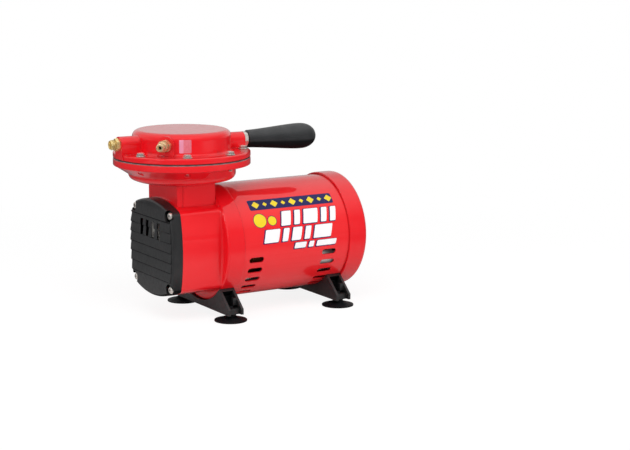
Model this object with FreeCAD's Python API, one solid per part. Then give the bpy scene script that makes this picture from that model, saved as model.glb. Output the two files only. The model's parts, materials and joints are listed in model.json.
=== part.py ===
import FreeCAD, Part

# Small direct-drive diaphragm compressor, in millimetres, +Z up.
# The motor lies along X with its crankcase at the -X end. The diaphragm head stands on the
# crankcase. The working origin is where the head's axis meets the surface that the feet rest on;
# each piece is moved by SHIFT_X when it is written, so that the finished part's origin is the
# bottom centre of its bounding box.

import math
import os

V = FreeCAD.Vector
X_AXIS = V(1, 0, 0)
Y_AXIS = V(0, 1, 0)
Z_AXIS = V(0, 0, 1)

# ---------------------------------------------------------------- driving dimensions
AXIS_Z = 85.5            # height of the motor's axis

# fits and clearances
RUN_FIT = 0.05           # radial, between a shaft or journal and what turns on it
PRESS_FIT = 0.02         # radial, bearing ring in its seat and rotor on its shaft
BOLT_FIT = 0.25          # radial, screw in a clearance hole
SEAT_GAP = 0.1           # curved faces of fixed pieces that nest
MOVING_GAP = 0.4         # between a moving piece and a fixed one

# motor tube and rear cap
TUBE_R = 69.0
TUBE_WALL = 1.6
TUBE_FRONT_X = 46.2
CAP_BACK_X = 219.8
CAP_DEPTH = 26.5
CAP_R = 71.6
CAP_WALL = 2.3
CAP_EDGE_R = 6.5
CAP_OVERLAP = 7.0        # how far the tube reaches into the cap
CAP_VENTS = 12
CAP_VENT_W = 5.0
CAP_VENT_INNER_R = 29.0
CAP_VENT_OUTER_R = 49.0

# vent slots in the tube: two groups on each side, angles below the horizontal
VENT_FRONT_X = 63.0
VENT_REAR_IN = 28.5      # the rear group, in front of the cap's lip
VENT_LENGTH = 19.8
VENT_WIDTH = 6.8
VENT_ANGLES = [12.6, 24.2, 35.8, 47.6, 59.5]

# crankcase casting
BOX_HALF_W = 56.3        # at the bulge of its sides
BOX_HALF_H = 57.9
BOX_SIDE_ARC_R = 190.0
BOX_TOP_ARC_R = 122.0
BOX_CORNER_R = 8.5
BOX_FRONT_X = -29.2
BELL_FRONT_X = 23.4
BELL_R = 70.2
BELL_EDGE_R = 3.2
BELL_BACK_R = 0.7
BELL_INNER_R = 61.5
CASE_WALL = 4.5
BEARING_WALL_X = 12.0
BEARING_WALL_T = 8.5
SPIGOT_LENGTH = 6.0
NECK_FRONT_X = -26.2
NECK_BACK_X = 23.6
NECK_HALF_W = 37.5
NECK_CORNER_R = 1.3
NECK_WALL = 4.5
PAD_RISE = 1.0           # machined pad on each side of the neck
PAD_DROP = 3.2           # the pad ends this far below the bowl
PAD_FRONT_X = -19.0

# bowl and clamped flanges round the head's axis
BOWL_IN = 17.6           # radii told as steps in from the flange's edge
BOWL_STEP_X = -4.0        # in front of this the bowl flares out to the flange
BOWL_FRONT_IN = 24.0
BOWL_UNDER_IN = 37.3      # its underside slopes down to this radius
BOWL_KNEE_IN = 17.6
BOWL_KNEE_DROP = 10.3     # the knee's place below the flange
BOWL_FLARE_IN = 1.5
BOWL_FRONT_DROP = 0.4     # how much lower its front half reaches
BOWL_UNDER_DROP = 3.6     # at the underside's inner radius
BOWL_FRONT_ROUND_R = 5.0
SCREW_POCKET_R = 3.5      # room in the flare round each flange screw
BOWL_BOTTOM_Z = 164.9
BOWL_CORNER_R = 7.4
BOWL_WALL = 4.0
BOWL_FLOOR_T = 5.0
FLANGE_R = 81.3
BOWL_HEIGHT = 17.6
LOWER_FLANGE_T = 7.6
DIAPHRAGM_T = 2.0
DIAPHRAGM_INSET = 0.5    # the sheet's edge stands back from the flanges' edge
UPPER_FLANGE_T = 6.6
FLANGE_EDGE_R = 2.0
LOWER_FLANGE_EDGE_R = 1.3

# head cover
DRUM_IN = 22.8           # in from the flange's edge
DRUM_RISE = 25.0         # heights above the flange
DRUM_EDGE_R = 8.0
DRUM_FILLET_R = 3.0
DRUM_WALL = 4.4
HEAD_ROOF_T = 4.5
OUTLET_RISE = 11.6
OUTLET_BOSS_R = 9.2
OUTLET_OUT = 0.8         # the boss ends this far outside the flange's edge
RELIEF_RISE = 12.5
RELIEF_ANGLE = -135.0    # seen from above, from +X
RELIEF_PAD_R = 10.4
RELIEF_PAD_OUT = 2.5     # the pad ends this far outside the drum
HANDLE_ANGLE = -5.0
HANDLE_LIFT = 0.25        # free height between the handle's nut and the flange
HANDLE_BOSS_R = 9.2
HANDLE_INSET = 2.6       # the boss ends this far inside the flange's edge
VALVE_PLATE_RISE = 0.7
VALVE_PLATE_T = 4.2
CHAMBER_WALL = 9.0       # head wall beside the delivery chamber
PORT_R = 3.5

# flange screws
FLANGE_SCREWS = 8
FLANGE_SCREW_IN = 8.3
FLANGE_SCREW_START = 22.5
FLANGE_SCREW_R = 2.5
FLANGE_SCREW_HEAD_R = 4.2
FLANGE_SCREW_COLLAR_R = 5.7
FLANGE_SCREW_COLLAR_T = 1.2
FLANGE_SCREW_HEAD_H = 2.8
FLANGE_SCREW_TIP = 3.0   # length that stands out below the lower flange

# front cover
COVER_DEPTH = 14.7
COVER_SLOPE_IN = 0.4     # how much smaller its front is than its back, each side
COVER_WALL = 2.2
GRILLE_T = 1.2            # thinner wall behind the slots
GRILLE_MARGIN = 2.5
COVER_EDGE_R = 3.0
COVER_RIB_PITCH = 11.76
COVER_RIB_COUNT = 6
COVER_RIB_TOP_Z = 35.7   # first step, above the motor's axis
COVER_TOP_BOARD = 13.0   # height of the widest board, above the first step
COVER_RIB_DEPTH = 1.3
COVER_RIB_EDGE = 1.2     # height of the rounded lower edge of a board
COVER_SCREW_Y = 45.2
COVER_SCREW_Z = 43.7
COVER_SCREW_R = 2.0
COVER_SCREW_HEAD_R = 4.2
COVER_SCREW_HEAD_H = 3.2
COVER_SCREW_L = 12.0     # length in the casting
COVER_NOTCH_R = 7.2
COVER_NOTCH_DEPTH = 4.2
SLOT_COUNT = 4
SLOT_PITCH = 14.5
SLOT_WIDTH = 6.2
SLOT_LEAN = 4.0          # how much wider a slot is inside
SLOT_CENTRE_Y = 0.0
SLOT_LOW_Z = 12.2        # above the motor's axis
SLOT_HIGH_Z = 31.8

# shaft, eccentric and rod
SHAFT_R = 7.5
CRANK_SHAFT_R = 6.0
STROKE = 6.0
BEARING_OUTER_R = 17.5   # motor bearings
BEARING_WIDTH = 11.0
BEARING_RING_T = 2.6
BALLS = 8
CRANK_BEARING_BORE_R = 12.5
CRANK_BEARING_R = 23.5
CRANK_BEARING_WIDTH = 12.0
CRANK_RING_T = 3.0
CRANK_BALLS = 10
WEIGHT_R = 34.0
WEIGHT_T = 12.0
WEIGHT_HALF_W = 9.6
WEIGHT_GAP = 1.4          # between the weight and the front cover
ROD_RING_T = 4.5
ROD_SHANK_W = 18.0
ROD_SHANK_T = 10.0
ROD_TABLE_R = 16.0
ROD_TABLE_T = 4.0
PLATE_R = 38.0
PLATE_T = 2.5
REED_T = 0.4

# motor inside
STATOR_X = 88.0
STATOR_LENGTH = 40.0
STATOR_BORE_R = 36.4
AIR_GAP = 0.5
WINDING_R = 47.5
WINDING_INNER_R = 38.5
WINDING_REACH = 18.0
END_RING_R = 34.0
END_RING_T = 5.0
FAN_IN = 42.8            # in front of the cap's back
FAN_WIDTH = 14.0
FAN_R = 45.0
FAN_HUB_R = 11.0
FAN_BLADES = 8
FAN_BLADE_T = 2.0
TIE_BOLT_CIRCLE_R = 58.0
TIE_BOLT_R = 2.5
TIE_BOLT_HEAD_R = 4.6
TIE_BOLT_HEAD_H = 4.0
CAPACITOR_R = 10.0
CAPACITOR_GAP = 7.0      # between the windings and the capacitor
CAPACITOR_IN = 7.3       # its end stands this far inside the tube
CAPACITOR_ANGLE = 207.0  # about the motor's axis, from +Y
CAPACITOR_STRAP_T = 1.0
STRAP_SHARE = 0.65       # the strap's place along the can
STRAP_FLANGE = 9.0

# brass fittings
HEX_HALF_FLAT = 6.6
OUTLET_HEX_L = 4.7
OUTLET_THREAD_R = 6.0
OUTLET_THREAD_L = 6.1
RELIEF_HEX_L = 8.0
RELIEF_COLLAR_R = 6.1
RELIEF_COLLAR_L = 7.6
RELIEF_NOSE_R = 4.5
RELIEF_NOSE_L = 6.7
RELIEF_SHANK_R = 5.0

# handle
HANDLE_NUT_HALF_FLAT = 8.5
HANDLE_NUT_L = 5.2
GRIP_SMALL_R = 10.6
GRIP_LARGE_R = 15.6
GRIP_LENGTH = 92.6
STUD_R = 4.0
STUD_IN_GRIP = 55.0

# feet
FOOT_FRONT_X = 30.9
FOOT_REAR_IN = 10.9      # in front of the cap's lip
FOOT_WIDTH = 20.2
FOOT_PLATE_T = 3.0
FOOT_SADDLE_T = 4.0
FOOT_BOTTOM_Z = 8.6
FOOT_END_Y = 74.1
FOOT_END_TOP_Z = 15.4
FOOT_BLOCK_T = 7.0
FOOT_SADDLE_ANGLE = 46.0
CUP_Y = 60.7
CUP_R = 19.5
CUP_STEM_R = 6.5
CUP_PIN_R = 3.2
CUP_RIM_T = 1.3

# things on the rear cap
SWITCH_Y = -22.0
SWITCH_Z = -40.0         # from the motor's axis
SWITCH_W = 13.0
SWITCH_H = 19.0
SWITCH_BEZEL = 1.6
SWITCH_DEPTH = 15.0
GLAND_Y = 22.0
GLAND_Z = -40.0
GLAND_R = 8.5
GLAND_REACH = 12.0
CORD_BORE_R = 3.6

# casting and covers
BEARING_X = 11.0         # front bearing's front face
HUB_R = 23.0
HUB_LIP = 1.2
THROAT_R = 50.0
BOSS_R = 6.2
BELL_WALL = 4.6
VALLEY_R = 2.6           # fillet where the box meets the bell's face
CAP_PAD_R = 6.6
FOOT_SCREW_R = 2.0
FOOT_SCREW_ANGLE = 24.0
FOOT_SCREW_DEPTH = 7.0
FOOT_SCREW_HEAD_R = 3.8
FOOT_SCREW_HEAD_H = 2.4
TIE_HOLE_DEPTH = 16.0

# valve plate and reeds
GASKET_T = 0.8
POST_R = 5.0
POST_IN = 15.0           # in from the drum's side
PLATE_SCREW_R = 1.5
PLATE_SCREW_L = 7.0
OUTLET_SHANK_R = 5.4
OUTLET_SHANK_L = 11.0
RELIEF_SHANK_L = 11.5
STUD_DEPTH = 18.0
CENTRE_SCREW_R = 3.0
CENTRE_HEAD_R = 5.8
REED_HALF_W = 11.0
REED_ROOT_Y = 12.0
REED_TIP_Y = 27.0
REED_CLAMP_Y = 7.5
REED_CLAMP_T = 1.1
REED_PORT_Y = 22.0
REED_PORT_R = 2.4
REED_STOP_LIFT = 2.0
ROOT_PLAY = 0.05
REED_SCREW_X = 8.0
REED_SCREW_R = 1.2

# relief valve
RELIEF_SPIGOT_R = 4.6
RELIEF_SPIGOT_L = 5.0
RELIEF_BORE_R = 3.2
RELIEF_PORT_R = 1.6
RELIEF_CAP_ROOF = 3.3
POPPET_R = 2.85
POPPET_T = 2.0

# crank hub, strap, feet and switch
CRANK_HUB_R = 13.0
SET_SCREW_X = -14.0
SET_SCREW_R = 2.5
STRAP_W = 8.0
RIB_T = 3.0
FOOT_RIB_Y = 44.0
FOOT_BLOCK_HALF = 8.5
CUP_BARB_R = 4.2
CUP_TOP_T = 2.6
ROCKER_HALF_TILT = 12.0
ROCKER_PIN_R = 1.2
SWITCH_WALL = 1.2
ROCKER_GAP = 0.35

# ---------------------------------------------------------------- derived places
PIN_DROP = STROKE / 2                       # the crank rests at the bottom of its stroke
PIN_Z = AXIS_Z - PIN_DROP
TUBE_INNER_R = TUBE_R - TUBE_WALL
CAP_LIP_X = CAP_BACK_X - CAP_DEPTH
TUBE_BACK_X = CAP_LIP_X + CAP_OVERLAP
VENT_REAR_X = CAP_LIP_X - VENT_REAR_IN
FOOT_REAR_X = CAP_LIP_X - FOOT_REAR_IN
FAN_X = CAP_BACK_X - FAN_IN
BOWL_R = FLANGE_R - BOWL_IN
BOWL_FRONT_R = FLANGE_R - BOWL_FRONT_IN
BOWL_KNEE_R = FLANGE_R - BOWL_KNEE_IN
BOWL_UNDER_R = FLANGE_R - BOWL_UNDER_IN
BOWL_FLARE_R = FLANGE_R - BOWL_FLARE_IN
DRUM_R = FLANGE_R - DRUM_IN
FLANGE_SCREW_CIRCLE_R = FLANGE_R - FLANGE_SCREW_IN
RELIEF_PAD_REACH = DRUM_R + RELIEF_PAD_OUT
POST_CIRCLE_R = DRUM_R - POST_IN
PAD_TOP_Z = BOWL_BOTTOM_Z - PAD_DROP
LOWER_FLANGE_Z = BOWL_BOTTOM_Z + BOWL_HEIGHT
CLAMP_Z = LOWER_FLANGE_Z + LOWER_FLANGE_T   # top face of the lower flange
SEAT_Z = CLAMP_Z + DIAPHRAGM_T              # underside of the head cover
FLANGE_TOP_Z = SEAT_Z + UPPER_FLANGE_T
DRUM_TOP_Z = FLANGE_TOP_Z + DRUM_RISE
OUTLET_Z = FLANGE_TOP_Z + OUTLET_RISE
RELIEF_Z = FLANGE_TOP_Z + RELIEF_RISE
VALVE_PLATE_Z = FLANGE_TOP_Z + VALVE_PLATE_RISE
SHEET_LOW_Z = CLAMP_Z - PIN_DROP            # the sheet's middle at rest
COVER_FRONT_X = BOX_FRONT_X - COVER_DEPTH
REAR_REACH = CAP_BACK_X + GLAND_REACH
LEDGE_Z = VALVE_PLATE_Z + VALVE_PLATE_T + GASKET_T
RECESS_R = DRUM_R - DRUM_WALL
CHAMBER_R = DRUM_R - CHAMBER_WALL
REAR_BEARING_X = CAP_BACK_X - CAP_WALL - 1.5 - BEARING_WIDTH
TIE_START_X = TUBE_FRONT_X + SPIGOT_LENGTH - TIE_HOLE_DEPTH
RELIEF_SEAT = RELIEF_PAD_REACH + 1.0
HANDLE_BOSS_REACH = FLANGE_R - HANDLE_INSET
OUTLET_BOSS_X = FLANGE_R + OUTLET_OUT
OUTLET_HEX_END = OUTLET_BOSS_X + OUTLET_HEX_L
OUTLET_TIP_X = OUTLET_HEX_END + OUTLET_THREAD_L
SHIFT_X = (OUTLET_TIP_X - REAR_REACH) / 2
RELIEF_HEX_END = RELIEF_PAD_REACH + RELIEF_HEX_L
RELIEF_COLLAR_END = RELIEF_HEX_END + RELIEF_COLLAR_L
RELIEF_TIP_REACH = RELIEF_COLLAR_END + RELIEF_NOSE_L
HANDLE_Z = FLANGE_TOP_Z + HANDLE_LIFT + HANDLE_NUT_HALF_FLAT
SHAFT_STEP_X = CRANK_BEARING_WIDTH / 2 + 1.6
COVER_FACE_X = COVER_FRONT_X + COVER_RIB_DEPTH
SLOT_REACH = (SLOT_COUNT - 1) / 2 * SLOT_PITCH + SLOT_WIDTH / 2 + GRILLE_MARGIN
COVER_SEAT_X = COVER_FACE_X + COVER_NOTCH_DEPTH
WEIGHT_X = COVER_FACE_X + COVER_WALL + WEIGHT_GAP
CAPACITOR_X = STATOR_X + STATOR_LENGTH + WINDING_REACH + CAPACITOR_GAP
CAPACITOR_LENGTH = TUBE_BACK_X - CAPACITOR_IN - CAPACITOR_X
STRAP_X = CAPACITOR_X + STRAP_SHARE * CAPACITOR_LENGTH
CAPACITOR_CIRCLE_R = TUBE_INNER_R - CAPACITOR_R - CAPACITOR_STRAP_T - SEAT_GAP
ROCKER_PIVOT_X = CAP_BACK_X - 1.0

os.makedirs("parts", exist_ok=True)


# ---------------------------------------------------------------- helpers
def cyl_x(radius, x0, x1, y=0.0, z=AXIS_Z):
    return Part.makeCylinder(radius, x1 - x0, V(x0, y, z), X_AXIS)


def cyl_z(radius, z0, z1, x=0.0, y=0.0):
    return Part.makeCylinder(radius, z1 - z0, V(x, y, z0), Z_AXIS)


def block(x0, x1, y0, y1, z0, z1):
    return Part.makeBox(x1 - x0, y1 - y0, z1 - z0, V(x0, y0, z0))


def ring_x(outer, inner, x0, x1, y=0.0, z=AXIS_Z):
    return cyl_x(outer, x0, x1, y, z).cut(cyl_x(inner, x0 - 1, x1 + 1, y, z))


def ring_z(outer, inner, z0, z1, x=0.0, y=0.0):
    return cyl_z(outer, z0, z1, x, y).cut(cyl_z(inner, z0 - 1, z1 + 1, x, y))


def hex_prism(half_flat, length):
    """Hexagonal prism from the origin along +X."""
    corner = half_flat / math.cos(math.radians(30))
    points = [V(0, corner * math.cos(math.radians(60 * i)), corner * math.sin(math.radians(60 * i)))
              for i in range(6)]
    return Part.Face(Part.makePolygon(points + [points[0]])).extrude(V(length, 0, 0))


def revolve_z(profile, x=0.0, y=0.0):
    """Solid of revolution about the vertical line at x, y from (radius, z) corners."""
    points = [V(x + r, y, z) for r, z in profile]
    face = Part.Face(Part.makePolygon(points + [points[0]]))
    return face.revolve(V(x, y, 0), Z_AXIS, 360)


def aimed(shape, angle, z):
    """Turn a shape built along +X from the head's axis to a heading, at height z."""
    shape.rotate(V(0, 0, 0), Z_AXIS, angle)
    shape.translate(V(0, 0, z))
    return shape


def around_x(shape, angle):
    """A copy turned about the motor's axis."""
    turned = shape.copy()
    turned.rotate(V(0, 0, AXIS_Z), X_AXIS, angle)
    return turned


def around_z(shape, angle):
    """A copy turned about the head's axis."""
    turned = shape.copy()
    turned.rotate(V(0, 0, 0), Z_AXIS, angle)
    return turned


def fillet_where(shape, radius, test):
    edges = [edge for edge in shape.Edges if test(edge)]
    return shape.makeFillet(radius, edges)


def fused(shapes):
    return shapes[0].multiFuse(shapes[1:]).removeSplitter()


def save(name, shape):
    """Write one node; its solids stay separate if the shape is a group."""
    solids = shape.Solids
    moved = solids[0].copy() if len(solids) == 1 else Part.makeCompound([s.copy() for s in solids])
    moved.translate(V(SHIFT_X, 0, 0))
    moved.exportStep("parts/" + name + ".step")
    print(name, len(solids), "solid(s)", round(moved.Volume), "mm3", "valid", moved.isValid())


def save_group(name, shapes):
    save(name, Part.makeCompound(shapes))


def box_section(x, inset=0.0):
    """Face across X: a square whose four sides bulge, about the motor's axis."""
    half_w = BOX_HALF_W - inset
    half_h = BOX_HALF_H - inset
    side_centre = half_w - BOX_SIDE_ARC_R
    top_centre = half_h - BOX_TOP_ARC_R
    # the corner where a side arc meets a top arc
    corner_y = half_w
    for _ in range(40):
        corner_z = top_centre + math.sqrt(BOX_TOP_ARC_R ** 2 - corner_y ** 2)
        corner_y = side_centre + math.sqrt(BOX_SIDE_ARC_R ** 2 - corner_z ** 2)
    right = Part.Arc(V(x, corner_y, AXIS_Z - corner_z), V(x, half_w, AXIS_Z),
                     V(x, corner_y, AXIS_Z + corner_z))
    top = Part.Arc(V(x, corner_y, AXIS_Z + corner_z), V(x, 0, AXIS_Z + half_h),
                   V(x, -corner_y, AXIS_Z + corner_z))
    left = Part.Arc(V(x, -corner_y, AXIS_Z + corner_z), V(x, -half_w, AXIS_Z),
                    V(x, -corner_y, AXIS_Z - corner_z))
    bottom = Part.Arc(V(x, -corner_y, AXIS_Z - corner_z), V(x, 0, AXIS_Z - half_h),
                      V(x, corner_y, AXIS_Z - corner_z))
    return Part.Face(Part.Wire([arc.toShape() for arc in (right, top, left, bottom)]))


def box_prism(x0, x1, inset=0.0, corner_r=BOX_CORNER_R):
    prism = box_section(x0, inset).extrude(V(x1 - x0, 0, 0))
    return fillet_where(prism, corner_r, lambda e: is_along(e, X_AXIS) and e.Length > 0.9 * (x1 - x0))


def is_along(edge, direction):
    if edge.Degenerated or not isinstance(edge.Curve, Part.Line):
        return False
    return abs(edge.Curve.Direction.dot(direction)) > 0.999


def circle_edge(edge, radius, place, axis=2, tolerance=0.01):
    """True for a full circle of a radius whose centre stands at a place along an axis."""
    if edge.Degenerated or not isinstance(edge.Curve, Part.Circle):
        return False
    centre = edge.Curve.Center[axis]
    return abs(edge.Curve.Radius - radius) < tolerance and abs(centre - place) < tolerance


def bearing(name, x0, width, bore_r, outer_r, ring_t, balls, z, outer_name, inner_name):
    """A ball bearing about X: outer ring, inner ring and its balls."""
    pitch_r = (bore_r + outer_r) / 2
    ball_r = (outer_r - bore_r - 2 * ring_t) / 2 - RUN_FIT
    outer = ring_x(outer_r, outer_r - ring_t, x0, x0 + width, z=z)
    inner = ring_x(bore_r + ring_t, bore_r, x0, x0 + width, z=z)
    shapes = []
    for i in range(balls):
        angle = 2 * math.pi * i / balls
        shapes.append(Part.makeSphere(ball_r, V(x0 + width / 2, pitch_r * math.cos(angle),
                                                z + pitch_r * math.sin(angle))))
    save(outer_name, outer)
    save(inner_name, inner)
    save_group(name + "_balls", shapes)


# ---------------------------------------------------------------- casting and covers


def corners(y, z):
    return [(sy * y, AXIS_Z + sz * z) for sy in (-1, 1) for sz in (-1, 1)]


def flange_places():
    for i in range(FLANGE_SCREWS):
        angle = math.radians(FLANGE_SCREW_START + 360.0 * i / FLANGE_SCREWS)
        yield FLANGE_SCREW_CIRCLE_R * math.cos(angle), FLANGE_SCREW_CIRCLE_R * math.sin(angle)


def tie_places():
    for i in range(4):
        angle = math.radians(45 + 90 * i)
        yield TIE_BOLT_CIRCLE_R * math.cos(angle), AXIS_Z + TIE_BOLT_CIRCLE_R * math.sin(angle)


def foot_screw(x, head_from, length, clearance=0.0, head=True):
    """Radial screw up into the shell, or its hole, straight below the motor's axis."""
    shape = Part.makeCylinder(FOOT_SCREW_R + clearance, length, V(x, 0, AXIS_Z - head_from), Z_AXIS)
    if head:
        top = Part.makeCylinder(FOOT_SCREW_HEAD_R, FOOT_SCREW_HEAD_H,
                                V(x, 0, AXIS_Z - head_from - FOOT_SCREW_HEAD_H), Z_AXIS)
        shape = shape.fuse(top).removeSplitter()
    return shape


def crankcase():
    box = box_prism(BOX_FRONT_X, BELL_FRONT_X + 2)
    bell = cyl_x(BELL_R, BELL_FRONT_X, TUBE_FRONT_X)
    bell = fillet_where(bell, BELL_EDGE_R, lambda e: circle_edge(e, BELL_R, BELL_FRONT_X, 0))
    bell = fillet_where(bell, BELL_BACK_R, lambda e: circle_edge(e, BELL_R, TUBE_FRONT_X, 0))
    casing = box.fuse(bell).removeSplitter()
    casing = fillet_where(casing, VALLEY_R, lambda e: on_plane_x(e, BELL_FRONT_X)
                          and not circle_edge(e, BELL_R - BELL_EDGE_R, BELL_FRONT_X, 0))
    neck = block(NECK_FRONT_X, NECK_BACK_X, -NECK_HALF_W, NECK_HALF_W, AXIS_Z + 30, BOWL_BOTTOM_Z + 1)
    neck = fillet_where(neck, NECK_CORNER_R, lambda e: is_along(e, Z_AXIS))
    pad_y = NECK_HALF_W + PAD_RISE
    pad = block(PAD_FRONT_X, NECK_BACK_X, -pad_y, pad_y, AXIS_Z + 35, PAD_TOP_Z)
    pad = fillet_where(pad, PAD_RISE * 0.8, lambda e: is_along(e, Z_AXIS))
    bowl = cyl_z(BOWL_R, BOWL_BOTTOM_Z, LOWER_FLANGE_Z + 1)
    corner_r = min(BOWL_CORNER_R, (LOWER_FLANGE_Z - BOWL_BOTTOM_Z) * 0.7)
    bowl = fillet_where(bowl, corner_r, lambda e: circle_edge(e, BOWL_R, BOWL_BOTTOM_Z))
    flare = bowl_flare()
    flange = cyl_z(FLANGE_R, LOWER_FLANGE_Z, CLAMP_Z)
    flange = fillet_where(flange, LOWER_FLANGE_EDGE_R,
                          lambda e: circle_edge(e, FLANGE_R, LOWER_FLANGE_Z))
    spigot = cyl_x(TUBE_INNER_R - SEAT_GAP, TUBE_FRONT_X - 1, TUBE_FRONT_X + SPIGOT_LENGTH)
    solid = fused([casing, neck, pad, bowl, flare, flange, spigot])

    chamber = box_prism(BOX_FRONT_X - 1, BEARING_WALL_X, CASE_WALL, BOX_CORNER_R - 2)
    passage = block(NECK_FRONT_X + NECK_WALL, BEARING_WALL_X, -NECK_HALF_W + NECK_WALL,
                    NECK_HALF_W - NECK_WALL, AXIS_Z + 40, BOWL_BOTTOM_Z + BOWL_FLOOR_T + 1)
    basin_r = BOWL_R - BOWL_WALL
    basin_z = BOWL_BOTTOM_Z + BOWL_FLOOR_T
    basin = cyl_z(basin_r, basin_z, CLAMP_Z + 1)
    basin = fillet_where(basin, corner_r - BOWL_WALL / 2, lambda e: circle_edge(e, basin_r, basin_z))
    throat = cyl_x(THROAT_R, BEARING_WALL_X + BEARING_WALL_T, BELL_FRONT_X + BELL_WALL + 1)
    hollow = cyl_x(BELL_INNER_R, BELL_FRONT_X + BELL_WALL, TUBE_FRONT_X + SPIGOT_LENGTH + 1)
    solid = solid.cut(fused([chamber, passage, basin])).cut(throat).cut(hollow)

    hub = cyl_x(HUB_R, BEARING_X - HUB_LIP, BEARING_X + BEARING_WIDTH)
    bosses = [cyl_x(BOSS_R, BOX_FRONT_X, BOX_FRONT_X + COVER_SCREW_L + 6, y, z)
              for y, z in corners(COVER_SCREW_Y, COVER_SCREW_Z)]
    inside = box_prism(BOX_FRONT_X, BELL_FRONT_X)
    bosses = [boss.common(inside) for boss in bosses]
    tie_bosses = [cyl_x(BOSS_R, BELL_FRONT_X + BELL_WALL - 1, TUBE_FRONT_X + SPIGOT_LENGTH, y, z)
                  for y, z in tie_places()]
    solid = fused([solid, hub] + bosses + tie_bosses)

    cuts = [cyl_x(BEARING_OUTER_R + PRESS_FIT, BEARING_X, BEARING_X + BEARING_WIDTH + 1),
            cyl_x(BEARING_OUTER_R - 3, BEARING_X - HUB_LIP - 1, BEARING_X + 1)]
    cuts += [cyl_x(COVER_SCREW_R + RUN_FIT, BOX_FRONT_X - 1, BOX_FRONT_X + COVER_SCREW_L + 1, y, z)
             for y, z in corners(COVER_SCREW_Y, COVER_SCREW_Z)]
    cuts += [cyl_x(TIE_BOLT_R + RUN_FIT, TIE_START_X, TUBE_FRONT_X + SPIGOT_LENGTH + 1, y, z)
             for y, z in tie_places()]
    cuts += [cyl_z(FLANGE_SCREW_R + RUN_FIT, LOWER_FLANGE_Z - 1, CLAMP_Z + 1, x, y)
             for x, y in flange_places()]
    for side in (-1, 1):
        hole = foot_screw(FOOT_FRONT_X, BELL_R + 1, FOOT_SCREW_DEPTH + 1, RUN_FIT, False)
        cuts.append(around_x(hole, side * FOOT_SCREW_ANGLE))
    for cut in cuts:
        solid = solid.cut(cut)
    save("crankcase", solid)


def bowl_flare():
    """Front half of the bowl, widening to the flange, with room for the screws' ends."""
    low = BOWL_BOTTOM_Z - BOWL_UNDER_DROP
    lip_z = BOWL_BOTTOM_Z - BOWL_FRONT_DROP
    knee_z = LOWER_FLANGE_Z - BOWL_KNEE_DROP
    cone = revolve_z([(0, low), (BOWL_UNDER_R, low), (BOWL_FRONT_R, lip_z), (BOWL_KNEE_R, knee_z),
                      (BOWL_FLARE_R, LOWER_FLANGE_Z), (0, LOWER_FLANGE_Z)])
    cone = fillet_where(cone, BOWL_FRONT_ROUND_R, lambda e: circle_edge(e, BOWL_FRONT_R, lip_z))
    for x, y in flange_places():
        cone = cone.cut(cyl_z(SCREW_POCKET_R, low - 1, LOWER_FLANGE_Z + 1, x, y))
    return cone.common(block(-FLANGE_R, BOWL_STEP_X, -FLANGE_R, FLANGE_R, low, LOWER_FLANGE_Z))


def on_plane_x(edge, x):
    return all(abs(vertex.X - x) < 0.01 for vertex in edge.Vertexes) and abs(edge.CenterOfMass.x - x) < 0.01


def cover_slots():
    """Air slots whose one side leans, so that they widen through the wall."""
    low = AXIS_Z + SLOT_LOW_Z
    shapes = []
    for i in range(SLOT_COUNT):
        y0 = SLOT_CENTRE_Y + (i - (SLOT_COUNT - 1) / 2) * SLOT_PITCH - SLOT_WIDTH / 2
        y1 = y0 + SLOT_WIDTH
        plan = [V(COVER_FRONT_X, y0, low), V(COVER_FRONT_X, y1, low),
                V(COVER_FACE_X + COVER_WALL, y1 + SLOT_LEAN, low), V(COVER_FACE_X + COVER_WALL, y0, low)]
        face = Part.Face(Part.makePolygon(plan + [plan[0]]))
        shapes.append(face.extrude(V(0, 0, SLOT_HIGH_Z - SLOT_LOW_Z)))
    return shapes


def board(high, low):
    """One board across the cover, leaning out towards its lower edge."""
    root = COVER_FACE_X + GRILLE_T / 2
    reach = BOX_HALF_W
    corner = [V(root, -reach, high), V(COVER_FACE_X, -reach, high),
              V(COVER_FRONT_X, -reach, low + COVER_RIB_EDGE),
              V(COVER_FRONT_X + COVER_RIB_DEPTH / 3, -reach, low), V(root, -reach, low)]
    face = Part.Face(Part.makePolygon(corner + [corner[0]]))
    edge = COVER_SLOPE_IN + COVER_EDGE_R - 0.3
    return face.extrude(V(0, 2 * reach, 0)).common(box_prism(COVER_FRONT_X, root, edge, BOX_CORNER_R - 3))


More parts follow.
